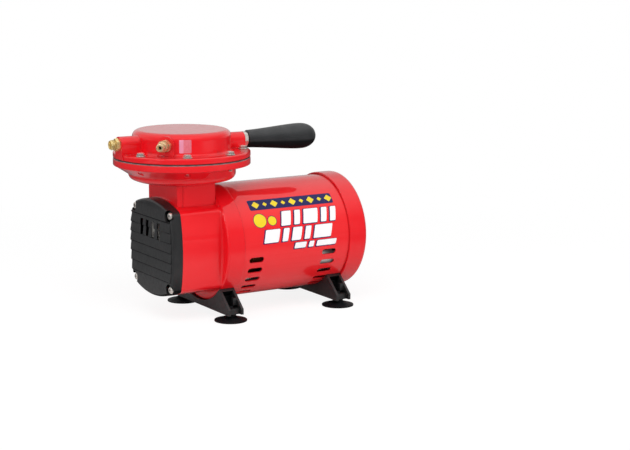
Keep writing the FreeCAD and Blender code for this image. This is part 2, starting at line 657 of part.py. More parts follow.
def front_cover():
    back = box_section(BOX_FRONT_X).OuterWire
    front = box_section(COVER_FACE_X, COVER_SLOPE_IN).OuterWire
    shell = Part.makeLoft([back, front], True, True)
    shell = fillet_where(shell, BOX_CORNER_R - 1, lambda e: abs(e.CenterOfMass.y) > 40
                         and abs(e.CenterOfMass.z - AXIS_Z) > 35
                         and not on_plane_x(e, BOX_FRONT_X) and not on_plane_x(e, COVER_FACE_X))
    shell = fillet_where(shell, COVER_EDGE_R, lambda e: on_plane_x(e, COVER_FACE_X))
    inner = box_prism(COVER_FACE_X + COVER_WALL, BOX_FRONT_X + 1, COVER_SLOPE_IN + COVER_WALL + 1,
                      BOX_CORNER_R - 3)
    grille = block(COVER_FACE_X + GRILLE_T, BOX_FRONT_X, -SLOT_REACH, SLOT_REACH,
                   AXIS_Z + SLOT_LOW_Z - GRILLE_MARGIN, AXIS_Z + SLOT_HIGH_Z + GRILLE_MARGIN)
    shell = shell.cut(inner)
    top = AXIS_Z + COVER_RIB_TOP_Z
    boards = [board(top + COVER_TOP_BOARD, top)]
    for i in range(COVER_RIB_COUNT):
        high = top - i * COVER_RIB_PITCH
        boards.append(board(high, high - COVER_RIB_PITCH))
    solid = fused([shell] + boards).cut(grille)
    seats = []
    for y, z in corners(COVER_SCREW_Y, COVER_SCREW_Z):
        seat = cyl_x(COVER_NOTCH_R - 0.5, COVER_SEAT_X - COVER_RIB_DEPTH + 0.5, BOX_FRONT_X, y, z)
        seats.append(seat.common(box_prism(COVER_SEAT_X - COVER_RIB_DEPTH, BOX_FRONT_X, COVER_SLOPE_IN)))
    solid = fused([solid] + seats)
    cuts = [cyl_x(COVER_NOTCH_R, COVER_FRONT_X - 1, COVER_SEAT_X, y, z)
            for y, z in corners(COVER_SCREW_Y, COVER_SCREW_Z)]
    cuts += [cyl_x(COVER_SCREW_R + BOLT_FIT, COVER_FRONT_X, BOX_FRONT_X + 1, y, z)
             for y, z in corners(COVER_SCREW_Y, COVER_SCREW_Z)]
    cuts += cover_slots()
    for cut in cuts:
        solid = solid.cut(cut)
    save("front_cover", solid)


def cover_screws():
    top_x = COVER_SEAT_X - COVER_SCREW_HEAD_H
    screws = []
    for y, z in corners(COVER_SCREW_Y, COVER_SCREW_Z):
        head = cyl_x(COVER_SCREW_HEAD_R, top_x, COVER_SEAT_X, y, z)
        head = fillet_where(head, COVER_SCREW_HEAD_H * 0.45,
                            lambda e: circle_edge(e, COVER_SCREW_HEAD_R, top_x, 0))
        head = cross_slot(head, top_x, y, z)
        shank = cyl_x(COVER_SCREW_R, COVER_SEAT_X - 0.5, BOX_FRONT_X + COVER_SCREW_L, y, z)
        screws.append(head.fuse(shank).removeSplitter())
    save_group("cover_screws", screws)


def cross_slot(head, x, y, z, arm=2.3, width=1.0, depth=1.5):
    """Cross recess in a head whose face looks towards -X."""
    upright = block(x - 1, x + depth, y - width / 2, y + width / 2, z - arm, z + arm)
    level = block(x - 1, x + depth, y - arm, y + arm, z - width / 2, z + width / 2)
    return head.cut(upright).cut(level)


def tube_vents(r0, r1):
    """Cutters of the five rows of vents, both sides, both groups."""
    half = VENT_LENGTH / 2 - VENT_WIDTH / 2
    cutters = []
    for x in (VENT_FRONT_X, VENT_REAR_X):
        flat = block(x - half, x + half, r0, r1, AXIS_Z - VENT_WIDTH / 2, AXIS_Z + VENT_WIDTH / 2)
        ends = [Part.makeCylinder(VENT_WIDTH / 2, r1 - r0, V(x + side * half, r0, AXIS_Z), Y_AXIS)
                for side in (-1, 1)]
        slot = fused([flat] + ends)
        for angle in VENT_ANGLES:
            cutters.append(around_x(slot, -angle))
            cutters.append(around_x(slot, 180 + angle))
    return cutters


def motor_tube():
    tube = ring_x(TUBE_R, TUBE_INNER_R, TUBE_FRONT_X, TUBE_BACK_X)
    for cutter in tube_vents(TUBE_R - 8, TUBE_R + 3):
        tube = tube.cut(cutter)
    for side in (-1, 1):
        hole = foot_screw(FOOT_REAR_X, TUBE_R + 1, FOOT_SCREW_DEPTH, RUN_FIT, False)
        tube = tube.cut(around_x(hole, side * FOOT_SCREW_ANGLE))
    save("motor_tube", tube)


def rear_cap():
    cup = cyl_x(CAP_R, CAP_LIP_X, CAP_BACK_X)
    cup = fillet_where(cup, CAP_EDGE_R, lambda e: circle_edge(e, CAP_R, CAP_BACK_X, 0))
    cup = fillet_where(cup, 1.0, lambda e: circle_edge(e, CAP_R, CAP_LIP_X, 0))
    inner_r = CAP_R - CAP_WALL
    inner_back = CAP_BACK_X - CAP_WALL
    hollow = cyl_x(inner_r, CAP_LIP_X - 1, inner_back)
    hollow = fillet_where(hollow, CAP_EDGE_R - 1.5, lambda e: circle_edge(e, inner_r, inner_back, 0))
    solid = cup.cut(hollow)
    # the tube's end seats on a rolled bead inside the cap
    bead = ring_x(inner_r + 0.5, TUBE_INNER_R + 0.2, TUBE_BACK_X, TUBE_BACK_X + 2)
    hub = cyl_x(HUB_R, REAR_BEARING_X, CAP_BACK_X - CAP_WALL / 2)
    pads = [cyl_x(CAP_PAD_R, TUBE_BACK_X + 4, CAP_BACK_X - CAP_WALL / 2, y, z) for y, z in tie_places()]
    boss = Part.makeCylinder(HUB_R - 2, 2.5, V(CAP_BACK_X - 0.5, 0, AXIS_Z), X_AXIS)
    boss = fillet_where(boss, 1.5, lambda e: circle_edge(e, HUB_R - 2, CAP_BACK_X + 2, 0))
    solid = fused([solid, bead, hub, boss] + pads)
    cuts = [cyl_x(BEARING_OUTER_R + PRESS_FIT, REAR_BEARING_X - 1, REAR_BEARING_X + BEARING_WIDTH),
            cyl_x(SHAFT_R + 2, REAR_BEARING_X, REAR_BEARING_X + BEARING_WIDTH + 1.5)]
    cuts += [cyl_x(TIE_BOLT_R + BOLT_FIT, CAP_LIP_X, CAP_BACK_X + 1, y, z) for y, z in tie_places()]
    for i in range(CAP_VENTS):
        angle = 360.0 * i / CAP_VENTS
        if 225 <= angle <= 315:
            continue
        slot = block(CAP_BACK_X - CAP_WALL - 2, CAP_BACK_X + 2, CAP_VENT_INNER_R, CAP_VENT_OUTER_R,
                     AXIS_Z - CAP_VENT_W / 2, AXIS_Z + CAP_VENT_W / 2)
        slot = fillet_where(slot, CAP_VENT_W / 2 - 0.05, lambda e: is_along(e, X_AXIS))
        cuts.append(around_x(slot, angle))
    cuts.append(block(CAP_BACK_X - 10, CAP_BACK_X + 1, SWITCH_Y - SWITCH_W / 2 - SEAT_GAP,
                      SWITCH_Y + SWITCH_W / 2 + SEAT_GAP, AXIS_Z + SWITCH_Z - SWITCH_H / 2 - SEAT_GAP,
                      AXIS_Z + SWITCH_Z + SWITCH_H / 2 + SEAT_GAP))
    cuts.append(cyl_x(GLAND_R - 2 + SEAT_GAP, CAP_BACK_X - 10, CAP_BACK_X + 1, GLAND_Y, AXIS_Z + GLAND_Z))
    for cut in cuts:
        solid = solid.cut(cut)
    save("rear_cap", solid)


# ---------------------------------------------------------------- diaphragm head


def arch(radius, z, reach):
    """Round-topped boss along +X from the head's axis, standing on the flange."""
    foot = block(0, reach, -radius, radius, SEAT_Z + 1, z)
    return foot.fuse(Part.makeCylinder(radius, reach, V(0, 0, z), X_AXIS)).removeSplitter()


def post_places():
    for i in range(4):
        angle = math.radians(45 + 90 * i)
        yield POST_CIRCLE_R * math.cos(angle), POST_CIRCLE_R * math.sin(angle)


def head_cover():
    flange = cyl_z(FLANGE_R, SEAT_Z, FLANGE_TOP_Z)
    flange = fillet_where(flange, FLANGE_EDGE_R, lambda e: circle_edge(e, FLANGE_R, FLANGE_TOP_Z))
    flange = flange.makeChamfer(0.6, [e for e in flange.Edges if circle_edge(e, FLANGE_R, SEAT_Z)])
    drum = cyl_z(DRUM_R, SEAT_Z + 1, DRUM_TOP_Z)
    drum = fillet_where(drum, DRUM_EDGE_R, lambda e: circle_edge(e, DRUM_R, DRUM_TOP_Z))
    body = flange.fuse(drum).removeSplitter()
    body = fillet_where(body, DRUM_FILLET_R, lambda e: circle_edge(e, DRUM_R, FLANGE_TOP_Z))
    outlet = around_z(arch(OUTLET_BOSS_R, OUTLET_Z, OUTLET_BOSS_X), 180)
    relief = around_z(arch(RELIEF_PAD_R, RELIEF_Z, RELIEF_PAD_REACH), RELIEF_ANGLE)
    handle = around_z(arch(HANDLE_BOSS_R, HANDLE_Z, HANDLE_BOSS_REACH), HANDLE_ANGLE)
    solid = fused([body, outlet, relief, handle])

    recess = cyl_z(RECESS_R, SEAT_Z - 1, LEDGE_Z)
    mouth = Part.makeCone(RECESS_R + 3, RECESS_R, 3, V(0, 0, SEAT_Z), Z_AXIS)
    chamber = cyl_z(CHAMBER_R, LEDGE_Z - 1, DRUM_TOP_Z - HEAD_ROOF_T)
    posts = [cyl_z(POST_R, LEDGE_Z - 2, DRUM_TOP_Z - HEAD_ROOF_T + 1, x, y) for x, y in post_places()]
    chamber = chamber.cut(Part.makeCompound(posts))
    solid = solid.cut(fused([recess, mouth])).cut(chamber)

    inner = CHAMBER_R - 2
    cuts = [around_z(Part.makeCylinder(PORT_R, OUTLET_BOSS_X - inner, V(inner, 0, OUTLET_Z), X_AXIS), 180),
            around_z(Part.makeCylinder(OUTLET_SHANK_R + SEAT_GAP, OUTLET_SHANK_L + 1,
                                       V(OUTLET_BOSS_X - OUTLET_SHANK_L, 0, OUTLET_Z), X_AXIS), 180),
            around_z(Part.makeCylinder(RELIEF_SHANK_R + SEAT_GAP, RELIEF_PAD_REACH + 1 - inner,
                                       V(inner, 0, RELIEF_Z), X_AXIS), RELIEF_ANGLE),
            around_z(Part.makeCylinder(STUD_R + SEAT_GAP, STUD_DEPTH + 1,
                                       V(HANDLE_BOSS_REACH - STUD_DEPTH, 0, HANDLE_Z), X_AXIS),
                     HANDLE_ANGLE)]
    cuts += [cyl_z(FLANGE_SCREW_R + BOLT_FIT, SEAT_Z - 1, FLANGE_TOP_Z + 2, x, y)
             for x, y in flange_places()]
    cuts += [cyl_z(PLATE_SCREW_R + RUN_FIT, LEDGE_Z - 1, LEDGE_Z + PLATE_SCREW_L + 2, x, y)
             for x, y in post_places()]
    for cut in cuts:
        solid = solid.cut(cut)
    save("head_cover", solid)


def diaphragm():
    centre = PLATE_R + 1.0
    web = BOWL_R - BOWL_WALL - 2.0
    rim = FLANGE_R - DIAPHRAGM_INSET
    low = SHEET_LOW_Z
    sheet = revolve_z([(0, low), (centre, low), (web, CLAMP_Z), (rim, CLAMP_Z),
                       (rim, CLAMP_Z + DIAPHRAGM_T), (web, CLAMP_Z + DIAPHRAGM_T),
                       (centre, low + DIAPHRAGM_T), (0, low + DIAPHRAGM_T)])
    for x, y in flange_places():
        sheet = sheet.cut(cyl_z(FLANGE_SCREW_R + BOLT_FIT, CLAMP_Z - 1, SEAT_Z + 1, x, y))
    save("diaphragm", sheet.cut(piston_holes()))


def piston_holes():
    """Centre screw and intake ports, through everything that the rod carries."""
    low = SHEET_LOW_Z - PLATE_T - ROD_TABLE_T - 1
    high = SHEET_LOW_Z + DIAPHRAGM_T + PLATE_T + 1
    holes = [cyl_z(CENTRE_SCREW_R + RUN_FIT, low, high)]
    holes += [cyl_z(REED_PORT_R, low, high, x, REED_PORT_Y) for x in (-7, 0, 7)]
    return Part.makeCompound(holes)


def flange_screws():
    screws = []
    for x, y in flange_places():
        collar = cyl_z(FLANGE_SCREW_COLLAR_R, FLANGE_TOP_Z, FLANGE_TOP_Z + FLANGE_SCREW_COLLAR_T, x, y)
        head = hex_prism(FLANGE_SCREW_HEAD_R - 0.3, FLANGE_SCREW_HEAD_H + 0.2)
        head.rotate(V(0, 0, 0), Y_AXIS, -90)
        head.translate(V(x, y, FLANGE_TOP_Z + FLANGE_SCREW_COLLAR_T - 0.2))
        shank = cyl_z(FLANGE_SCREW_R, LOWER_FLANGE_Z - FLANGE_SCREW_TIP, FLANGE_TOP_Z + 0.5, x, y)
        screws.append(fused([collar, head, shank]))
    save_group("flange_screws", screws)


def valve_plate():
    plate = cyl_z(RECESS_R - SEAT_GAP, VALVE_PLATE_Z, VALVE_PLATE_Z + VALVE_PLATE_T)
    for x, y in post_places():
        plate = plate.cut(cyl_z(PLATE_SCREW_R + RUN_FIT, VALVE_PLATE_Z - 1, LEDGE_Z, x, y))
        plate = plate.cut(Part.makeCone(3.1, PLATE_SCREW_R, 1.6, V(x, y, VALVE_PLATE_Z), Z_AXIS))
    ports = [cyl_z(REED_PORT_R, VALVE_PLATE_Z - 1, LEDGE_Z, x, -REED_PORT_Y) for x in (-7, 0, 7)]
    ports += [cyl_z(REED_SCREW_R + RUN_FIT, VALVE_PLATE_Z + 0.5, LEDGE_Z, x, -reed_screw_y())
              for x in (-REED_SCREW_X, REED_SCREW_X)]
    save("valve_plate", plate.cut(Part.makeCompound(ports)))
    gasket = ring_z(RECESS_R - SEAT_GAP, CHAMBER_R + 0.2, LEDGE_Z - GASKET_T, LEDGE_Z)
    save("head_gasket", gasket)
    screws = []
    for x, y in post_places():
        head = Part.makeCone(3.0, PLATE_SCREW_R, 1.5, V(x, y, VALVE_PLATE_Z), Z_AXIS)
        screws.append(head.fuse(cyl_z(PLATE_SCREW_R, VALVE_PLATE_Z + 0.5, LEDGE_Z + PLATE_SCREW_L, x, y))
                      .removeSplitter())
    save_group("valve_plate_screws", screws)


def reed_screw_y():
    return (REED_CLAMP_Y + REED_ROOT_Y) / 2


def reed(name, base_z, side):
    """Flap that lies over its ports, just past the clamp that holds its root."""
    y0, y1 = sorted([side * (REED_ROOT_Y + ROOT_PLAY), side * REED_TIP_Y])
    flap = block(-REED_HALF_W, REED_HALF_W, y0, y1, base_z, base_z + REED_T)
    tip = side * REED_TIP_Y
    flap = fillet_where(flap, 5.0, lambda e: is_along(e, Z_AXIS) and abs(e.CenterOfMass.y - tip) < 0.01)
    save(name, flap)


def reed_clamp(name, base_z, side, stop):
    y0, y1 = sorted([side * REED_CLAMP_Y, side * REED_ROOT_Y])
    clamp = block(-REED_HALF_W, REED_HALF_W, y0, y1, base_z, base_z + REED_CLAMP_T)
    if stop:
        high = base_z + REED_STOP_LIFT
        riser = block(-6, 6, y0, y1, base_z, high + 1.4)
        arm0, arm1 = sorted([side * REED_CLAMP_Y, side * REED_TIP_Y])
        arm = block(-6, 6, arm0, arm1, high, high + 1.4)
        clamp = fused([clamp, riser, arm])
    for x in (-REED_SCREW_X, REED_SCREW_X):
        clamp = clamp.cut(cyl_z(REED_SCREW_R + RUN_FIT, base_z - 1, base_z + 3, x, side * reed_screw_y()))
        clamp = clamp.cut(Part.makeCone(REED_SCREW_R, 2.3, REED_CLAMP_T,
                                        V(x, side * reed_screw_y(), base_z), Z_AXIS))
    save(name, clamp)


def reed_screws(name, base_z, side, depth):
    screws = []
    for x in (-REED_SCREW_X, REED_SCREW_X):
        y = side * reed_screw_y()
        head = Part.makeCone(REED_SCREW_R, 2.2, REED_CLAMP_T - 0.1, V(x, y, base_z), Z_AXIS)
        screws.append(head.fuse(cyl_z(REED_SCREW_R, base_z - depth, base_z + 0.5, x, y)).removeSplitter())
    save_group(name, screws)


def outlet_fitting():
    shank = Part.makeCylinder(OUTLET_SHANK_R, OUTLET_SHANK_L - 0.3,
                              V(OUTLET_BOSS_X - OUTLET_SHANK_L + 0.3, 0, 0), X_AXIS)
    nut = hex_prism(HEX_HALF_FLAT, OUTLET_HEX_L)
    nut.rotate(V(0, 0, 0), X_AXIS, 30)
    nut.translate(V(OUTLET_BOSS_X, 0, 0))
    neck_x = OUTLET_HEX_END - 0.5
    neck = Part.makeCylinder(OUTLET_THREAD_R - 0.8, 2.0, V(neck_x, 0, 0), X_AXIS)
    thread_x = OUTLET_HEX_END + 1.0
    thread = Part.makeCylinder(OUTLET_THREAD_R, OUTLET_TIP_X - thread_x, V(thread_x, 0, 0), X_AXIS)
    solid = fused([shank, nut, neck, thread])
    solid = solid.cut(Part.makeCylinder(PORT_R, 60, V(50, 0, 0), X_AXIS))
    seat = Part.makeCone(PORT_R, PORT_R + 1.6, 1.6, V(OUTLET_TIP_X - 1.6, 0, 0), X_AXIS)
    save("outlet_fitting", aimed(solid.cut(seat), 180, OUTLET_Z))


def relief_valve():
    shank_x = RELIEF_PAD_REACH - RELIEF_SHANK_L
    nut = hex_prism(HEX_HALF_FLAT, RELIEF_HEX_L)
    nut.translate(V(RELIEF_PAD_REACH, 0, 0))
    shank = Part.makeCylinder(RELIEF_SHANK_R, RELIEF_SHANK_L + 0.5, V(shank_x, 0, 0), X_AXIS)
    spigot = Part.makeCylinder(RELIEF_SPIGOT_R, RELIEF_SPIGOT_L + 0.5, V(RELIEF_HEX_END - 0.5, 0, 0),
                               X_AXIS)
    body = fused([nut, shank, spigot])
    body = body.cut(Part.makeCylinder(RELIEF_PORT_R, 40, V(shank_x - 1, 0, 0), X_AXIS))
    body = body.cut(Part.makeCylinder(RELIEF_BORE_R, 30, V(RELIEF_SEAT, 0, 0), X_AXIS))
    save("relief_valve_body", aimed(body, RELIEF_ANGLE, RELIEF_Z))

    cap_x = RELIEF_HEX_END + 0.3
    roof_x = RELIEF_TIP_REACH - RELIEF_CAP_ROOF
    collar = Part.makeCylinder(RELIEF_COLLAR_R, RELIEF_COLLAR_END - cap_x, V(cap_x, 0, 0), X_AXIS)
    collar = collar.makeChamfer(RELIEF_COLLAR_R - RELIEF_NOSE_R - 0.4,
                                [e for e in collar.Edges
                                 if circle_edge(e, RELIEF_COLLAR_R, RELIEF_COLLAR_END, 0)])
    nose = Part.makeCylinder(RELIEF_NOSE_R, RELIEF_NOSE_L + 1, V(RELIEF_COLLAR_END - 1, 0, 0), X_AXIS)
    nose = fillet_where(nose, 0.9, lambda e: circle_edge(e, RELIEF_NOSE_R, RELIEF_TIP_REACH, 0))
    cap = fused([collar, nose])
    for radius, x0, x1 in [(RELIEF_SPIGOT_R + SEAT_GAP, cap_x - 0.5, RELIEF_HEX_END + RELIEF_SPIGOT_L + 0.5),
                           (RELIEF_BORE_R, cap_x, roof_x),
                           (RELIEF_PORT_R, roof_x - 1, RELIEF_TIP_REACH + 1)]:
        cap = cap.cut(Part.makeCylinder(radius, x1 - x0, V(x0, 0, 0), X_AXIS))
    mouth = Part.makeCone(RELIEF_PORT_R, RELIEF_NOSE_R - 1.8, RELIEF_CAP_ROOF / 2,
                          V(RELIEF_TIP_REACH - RELIEF_CAP_ROOF / 2, 0, 0), X_AXIS)
    save("relief_valve_cap", aimed(cap.cut(mouth), RELIEF_ANGLE, RELIEF_Z))

    poppet = Part.makeCylinder(POPPET_R, POPPET_T, V(RELIEF_SEAT, 0, 0), X_AXIS)
    stem = Part.makeCylinder(1.1, 6.0, V(RELIEF_SEAT + 1, 0, 0), X_AXIS)
    save("relief_poppet", aimed(poppet.fuse(stem).removeSplitter(), RELIEF_ANGLE, RELIEF_Z))

    wire_r = 0.35
    coil_r = POPPET_R - wire_r - 0.25
    start = RELIEF_SEAT + POPPET_T + wire_r + 0.05
    length = roof_x - wire_r - 0.05 - start
    path = Part.makeHelix(length / 7, length, coil_r)
    section = Part.Wire([Part.makeCircle(wire_r, V(coil_r, 0, 0), Y_AXIS)])
    coil = Part.Wire(path.Edges).makePipeShell([section], True, True)
    coil.rotate(V(0, 0, 0), Y_AXIS, 90)
    coil.translate(V(start, 0, 0))
    save("relief_spring", aimed(coil, RELIEF_ANGLE, RELIEF_Z))


def handle():
    nut_x = HANDLE_BOSS_REACH
    grip_x = nut_x + HANDLE_NUT_L
    nut = hex_prism(HANDLE_NUT_HALF_FLAT, HANDLE_NUT_L)
    nut.translate(V(nut_x, 0, 0))
    nut = nut.common(Part.makeCone(HANDLE_NUT_HALF_FLAT + 3, HANDLE_NUT_HALF_FLAT + 0.4, HANDLE_NUT_L,
                                   V(nut_x, 0, 0), X_AXIS))
    nut = nut.cut(Part.makeCylinder(STUD_R + SEAT_GAP, HANDLE_NUT_L + 2, V(nut_x - 1, 0, 0), X_AXIS))
    save("handle_nut", aimed(nut, HANDLE_ANGLE, HANDLE_Z))

    stud_x = HANDLE_BOSS_REACH - STUD_DEPTH + 0.5
    stud_end = grip_x + STUD_IN_GRIP
    stud = Part.makeCylinder(STUD_R, stud_end - stud_x, V(stud_x, 0, 0), X_AXIS)
    save("handle_stud", aimed(stud, HANDLE_ANGLE, HANDLE_Z))

    length = GRIP_LENGTH
    grip_end = grip_x + length
    side = [(0.0, GRIP_SMALL_R), (0.17, GRIP_SMALL_R + 0.9), (0.4, (GRIP_SMALL_R + GRIP_LARGE_R) / 2 + 0.2),
            (0.6, GRIP_LARGE_R - 0.7), (0.75, GRIP_LARGE_R), (0.88, GRIP_LARGE_R - 1.5),
            (0.965, GRIP_LARGE_R - 6.6), (1.0, 0.0)]
    curve = Part.BSplineCurve()
    curve.interpolate(Points=[V(grip_x + share * length, 0, radius) for share, radius in side],
                      InitialTangent=V(1, 0, 0.03), FinalTangent=V(0, 0, -1))
    outline = Part.Wire([Part.makeLine(V(grip_x, 0, 0), V(grip_x, 0, GRIP_SMALL_R)), curve.toShape(),
                         Part.makeLine(V(grip_end, 0, 0), V(grip_x, 0, 0))])
    grip = Part.Face(outline).revolve(V(0, 0, 0), X_AXIS, 360)
    grip = fillet_where(grip, 1.2, lambda e: circle_edge(e, GRIP_SMALL_R, grip_x, 0))
    bore_l = stud_end + 1 - grip_x
    grip = grip.cut(Part.makeCylinder(STUD_R + SEAT_GAP, bore_l, V(grip_x - 0.5, 0, 0), X_AXIS))
    save("handle_grip", aimed(grip, HANDLE_ANGLE, HANDLE_Z))


# ---------------------------------------------------------------- motor and crank
def stator():
    core = ring_x(TUBE_INNER_R - SEAT_GAP, STATOR_BORE_R, STATOR_X, STATOR_X + STATOR_LENGTH)
    for y, z in tie_places():
        core = core.cut(cyl_x(TIE_BOLT_R + BOLT_FIT, STATOR_X - 1, STATOR_X + STATOR_LENGTH + 1, y, z))
    save("stator_core", core)
    ends = []
    for x0, x1 in ((STATOR_X - WINDING_REACH, STATOR_X),
                   (STATOR_X + STATOR_LENGTH, STATOR_X + STATOR_LENGTH + WINDING_REACH)):
        end = ring_x(WINDING_R, WINDING_INNER_R, x0, x1)
        outside = x0 if x0 < STATOR_X else x1
        end = fillet_where(end, 3.5, lambda e: on_plane_x(e, outside))
        ends.append(end)
    save_group("windings", ends)


def rotor():
    bore = SHAFT_R + PRESS_FIT
    core = ring_x(STATOR_BORE_R - AIR_GAP, bore, STATOR_X, STATOR_X + STATOR_LENGTH)
    save("rotor_core", core)
    rings = [ring_x(END_RING_R, END_RING_R - 12, STATOR_X - END_RING_T, STATOR_X),
             ring_x(END_RING_R, END_RING_R - 12, STATOR_X + STATOR_LENGTH,
                    STATOR_X + STATOR_LENGTH + END_RING_T)]
    save_group("rotor_end_rings", rings)

    hub = cyl_x(FAN_HUB_R, FAN_X, FAN_X + FAN_WIDTH)
    disc = cyl_x(FAN_R, FAN_X, FAN_X + FAN_BLADE_T)
    blades = []
    for i in range(FAN_BLADES):
        blade = block(FAN_X + 1, FAN_X + FAN_WIDTH, FAN_HUB_R - 2, FAN_R - 0.5,
                      AXIS_Z - FAN_BLADE_T / 2, AXIS_Z + FAN_BLADE_T / 2)
        blades.append(around_x(blade, 360.0 * i / FAN_BLADES))
    fan = fused([hub, disc] + blades)
    save("cooling_fan", fan.cut(cyl_x(bore, FAN_X - 1, FAN_X + FAN_WIDTH + 1)))

    shaft_end = REAR_BEARING_X + BEARING_WIDTH + 0.8
    shaft = cyl_x(SHAFT_R - RUN_FIT, SHAFT_STEP_X, shaft_end)
    nose = cyl_x(CRANK_SHAFT_R, WEIGHT_X - 1, SHAFT_STEP_X + 1)
    save("motor_shaft", shaft.fuse(nose).removeSplitter())


def eccentric():
    half = CRANK_BEARING_WIDTH / 2
    hub = cyl_x(CRANK_HUB_R, WEIGHT_X, -half - MOVING_GAP - 0.2)
    journal = cyl_x(CRANK_BEARING_BORE_R - RUN_FIT, -half - 1, half + 1, z=PIN_Z)
    weight = cyl_x(WEIGHT_R, WEIGHT_X, WEIGHT_X + WEIGHT_T)
    weight = weight.common(block(WEIGHT_X, WEIGHT_X + WEIGHT_T, -WEIGHT_HALF_W, WEIGHT_HALF_W,
                                 AXIS_Z - 4, AXIS_Z + WEIGHT_R + 1))
    solid = fused([hub, journal, weight])
    solid = solid.cut(cyl_x(CRANK_SHAFT_R + PRESS_FIT, WEIGHT_X - 1, half + 2))
    drilled = Part.makeCylinder(SET_SCREW_R + PRESS_FIT, CRANK_HUB_R + 1,
                                V(SET_SCREW_X, 0, AXIS_Z - CRANK_HUB_R - 1), Z_AXIS)
    save("eccentric", solid.cut(drilled.cut(cyl_x(CRANK_SHAFT_R, WEIGHT_X, half))))
    screw_l = CRANK_HUB_R - CRANK_SHAFT_R - 0.6
    screw = Part.makeCylinder(SET_SCREW_R, screw_l, V(SET_SCREW_X, 0, AXIS_Z - CRANK_HUB_R + 0.4), Z_AXIS)
    socket = Part.makeCylinder(1.3, 2.0, V(SET_SCREW_X, 0, AXIS_Z - CRANK_HUB_R), Z_AXIS)
    save("eccentric_set_screw", screw.cut(socket))


def connecting_rod():
    half = CRANK_BEARING_WIDTH / 2
    seat_r = CRANK_BEARING_R + PRESS_FIT
    eye = cyl_x(CRANK_BEARING_R + ROD_RING_T, -half, half, z=PIN_Z)
    table_top = SHEET_LOW_Z - PLATE_T
    shank = block(-ROD_SHANK_T / 2, ROD_SHANK_T / 2, -ROD_SHANK_W / 2, ROD_SHANK_W / 2,
                  PIN_Z + CRANK_BEARING_R, table_top - ROD_TABLE_T + 1)
    pocket_low = PIN_Z + CRANK_BEARING_R + ROD_RING_T + 5
    for side in (-1, 1):
        x0, x1 = sorted([side * 2.5, side * (ROD_SHANK_T / 2 + 1)])
        pocket = block(x0, x1, -ROD_SHANK_W / 2 + 3.5, ROD_SHANK_W / 2 - 3.5, pocket_low,
                       table_top - ROD_TABLE_T - 5)
        shank = shank.cut(fillet_where(pocket, 3.0, lambda e: is_along(e, X_AXIS)))
    table = cyl_z(ROD_TABLE_R, table_top - ROD_TABLE_T, table_top)
    rod = fused([eye, shank, table]).cut(cyl_x(seat_r, -half - 1, half + 1, z=PIN_Z))
    save("connecting_rod", rod.cut(cyl_z(CENTRE_SCREW_R + RUN_FIT, table_top - 20, table_top + 1)))

    low = cyl_z(PLATE_R, table_top, SHEET_LOW_Z)
    low = fillet_where(low, 1.0, lambda e: circle_edge(e, PLATE_R, table_top))
    save("lower_diaphragm_plate", low.cut(piston_holes()))
    high_z = SHEET_LOW_Z + DIAPHRAGM_T
    high = cyl_z(PLATE_R, high_z, high_z + PLATE_T)
    high = fillet_where(high, 1.0, lambda e: circle_edge(e, PLATE_R, high_z + PLATE_T))
    high = high.cut(Part.makeCone(CENTRE_SCREW_R + 0.1, CENTRE_HEAD_R + 0.25, PLATE_T,
                                  V(0, 0, high_z), Z_AXIS))
    for x in (-REED_SCREW_X, REED_SCREW_X):
        high = high.cut(cyl_z(REED_SCREW_R + RUN_FIT, high_z - 1, high_z + PLATE_T + 1, x, reed_screw_y()))
    save("upper_diaphragm_plate", high.cut(piston_holes()))
    screw = Part.makeCone(CENTRE_SCREW_R, CENTRE_HEAD_R, PLATE_T - 0.1, V(0, 0, high_z), Z_AXIS)
    recess = hex_prism(2.0, 2.0)
    recess.rotate(V(0, 0, 0), Y_AXIS, -90)
    recess.translate(V(0, 0, high_z + PLATE_T - 1.6))
    screw = screw.fuse(cyl_z(CENTRE_SCREW_R, table_top - 18, high_z + 0.5)).removeSplitter()
    save("centre_screw", screw.cut(recess))
    reed("intake_reed", high_z + PLATE_T, 1)
    reed_clamp("intake_reed_clamp", high_z + PLATE_T, 1, False)
    reed_screws("intake_reed_screws", high_z + PLATE_T, 1, 2.0)


def tie_bolts():
    bolts = []
    for y, z in tie_places():
        head = hex_prism(TIE_BOLT_HEAD_R - 0.6, TIE_BOLT_HEAD_H)
        head.translate(V(CAP_BACK_X, y, z))
        bolts.append(head.fuse(cyl_x(TIE_BOLT_R, TIE_START_X + 1, CAP_BACK_X + 0.5, y, z)).removeSplitter())
    save_group("tie_bolts", bolts)


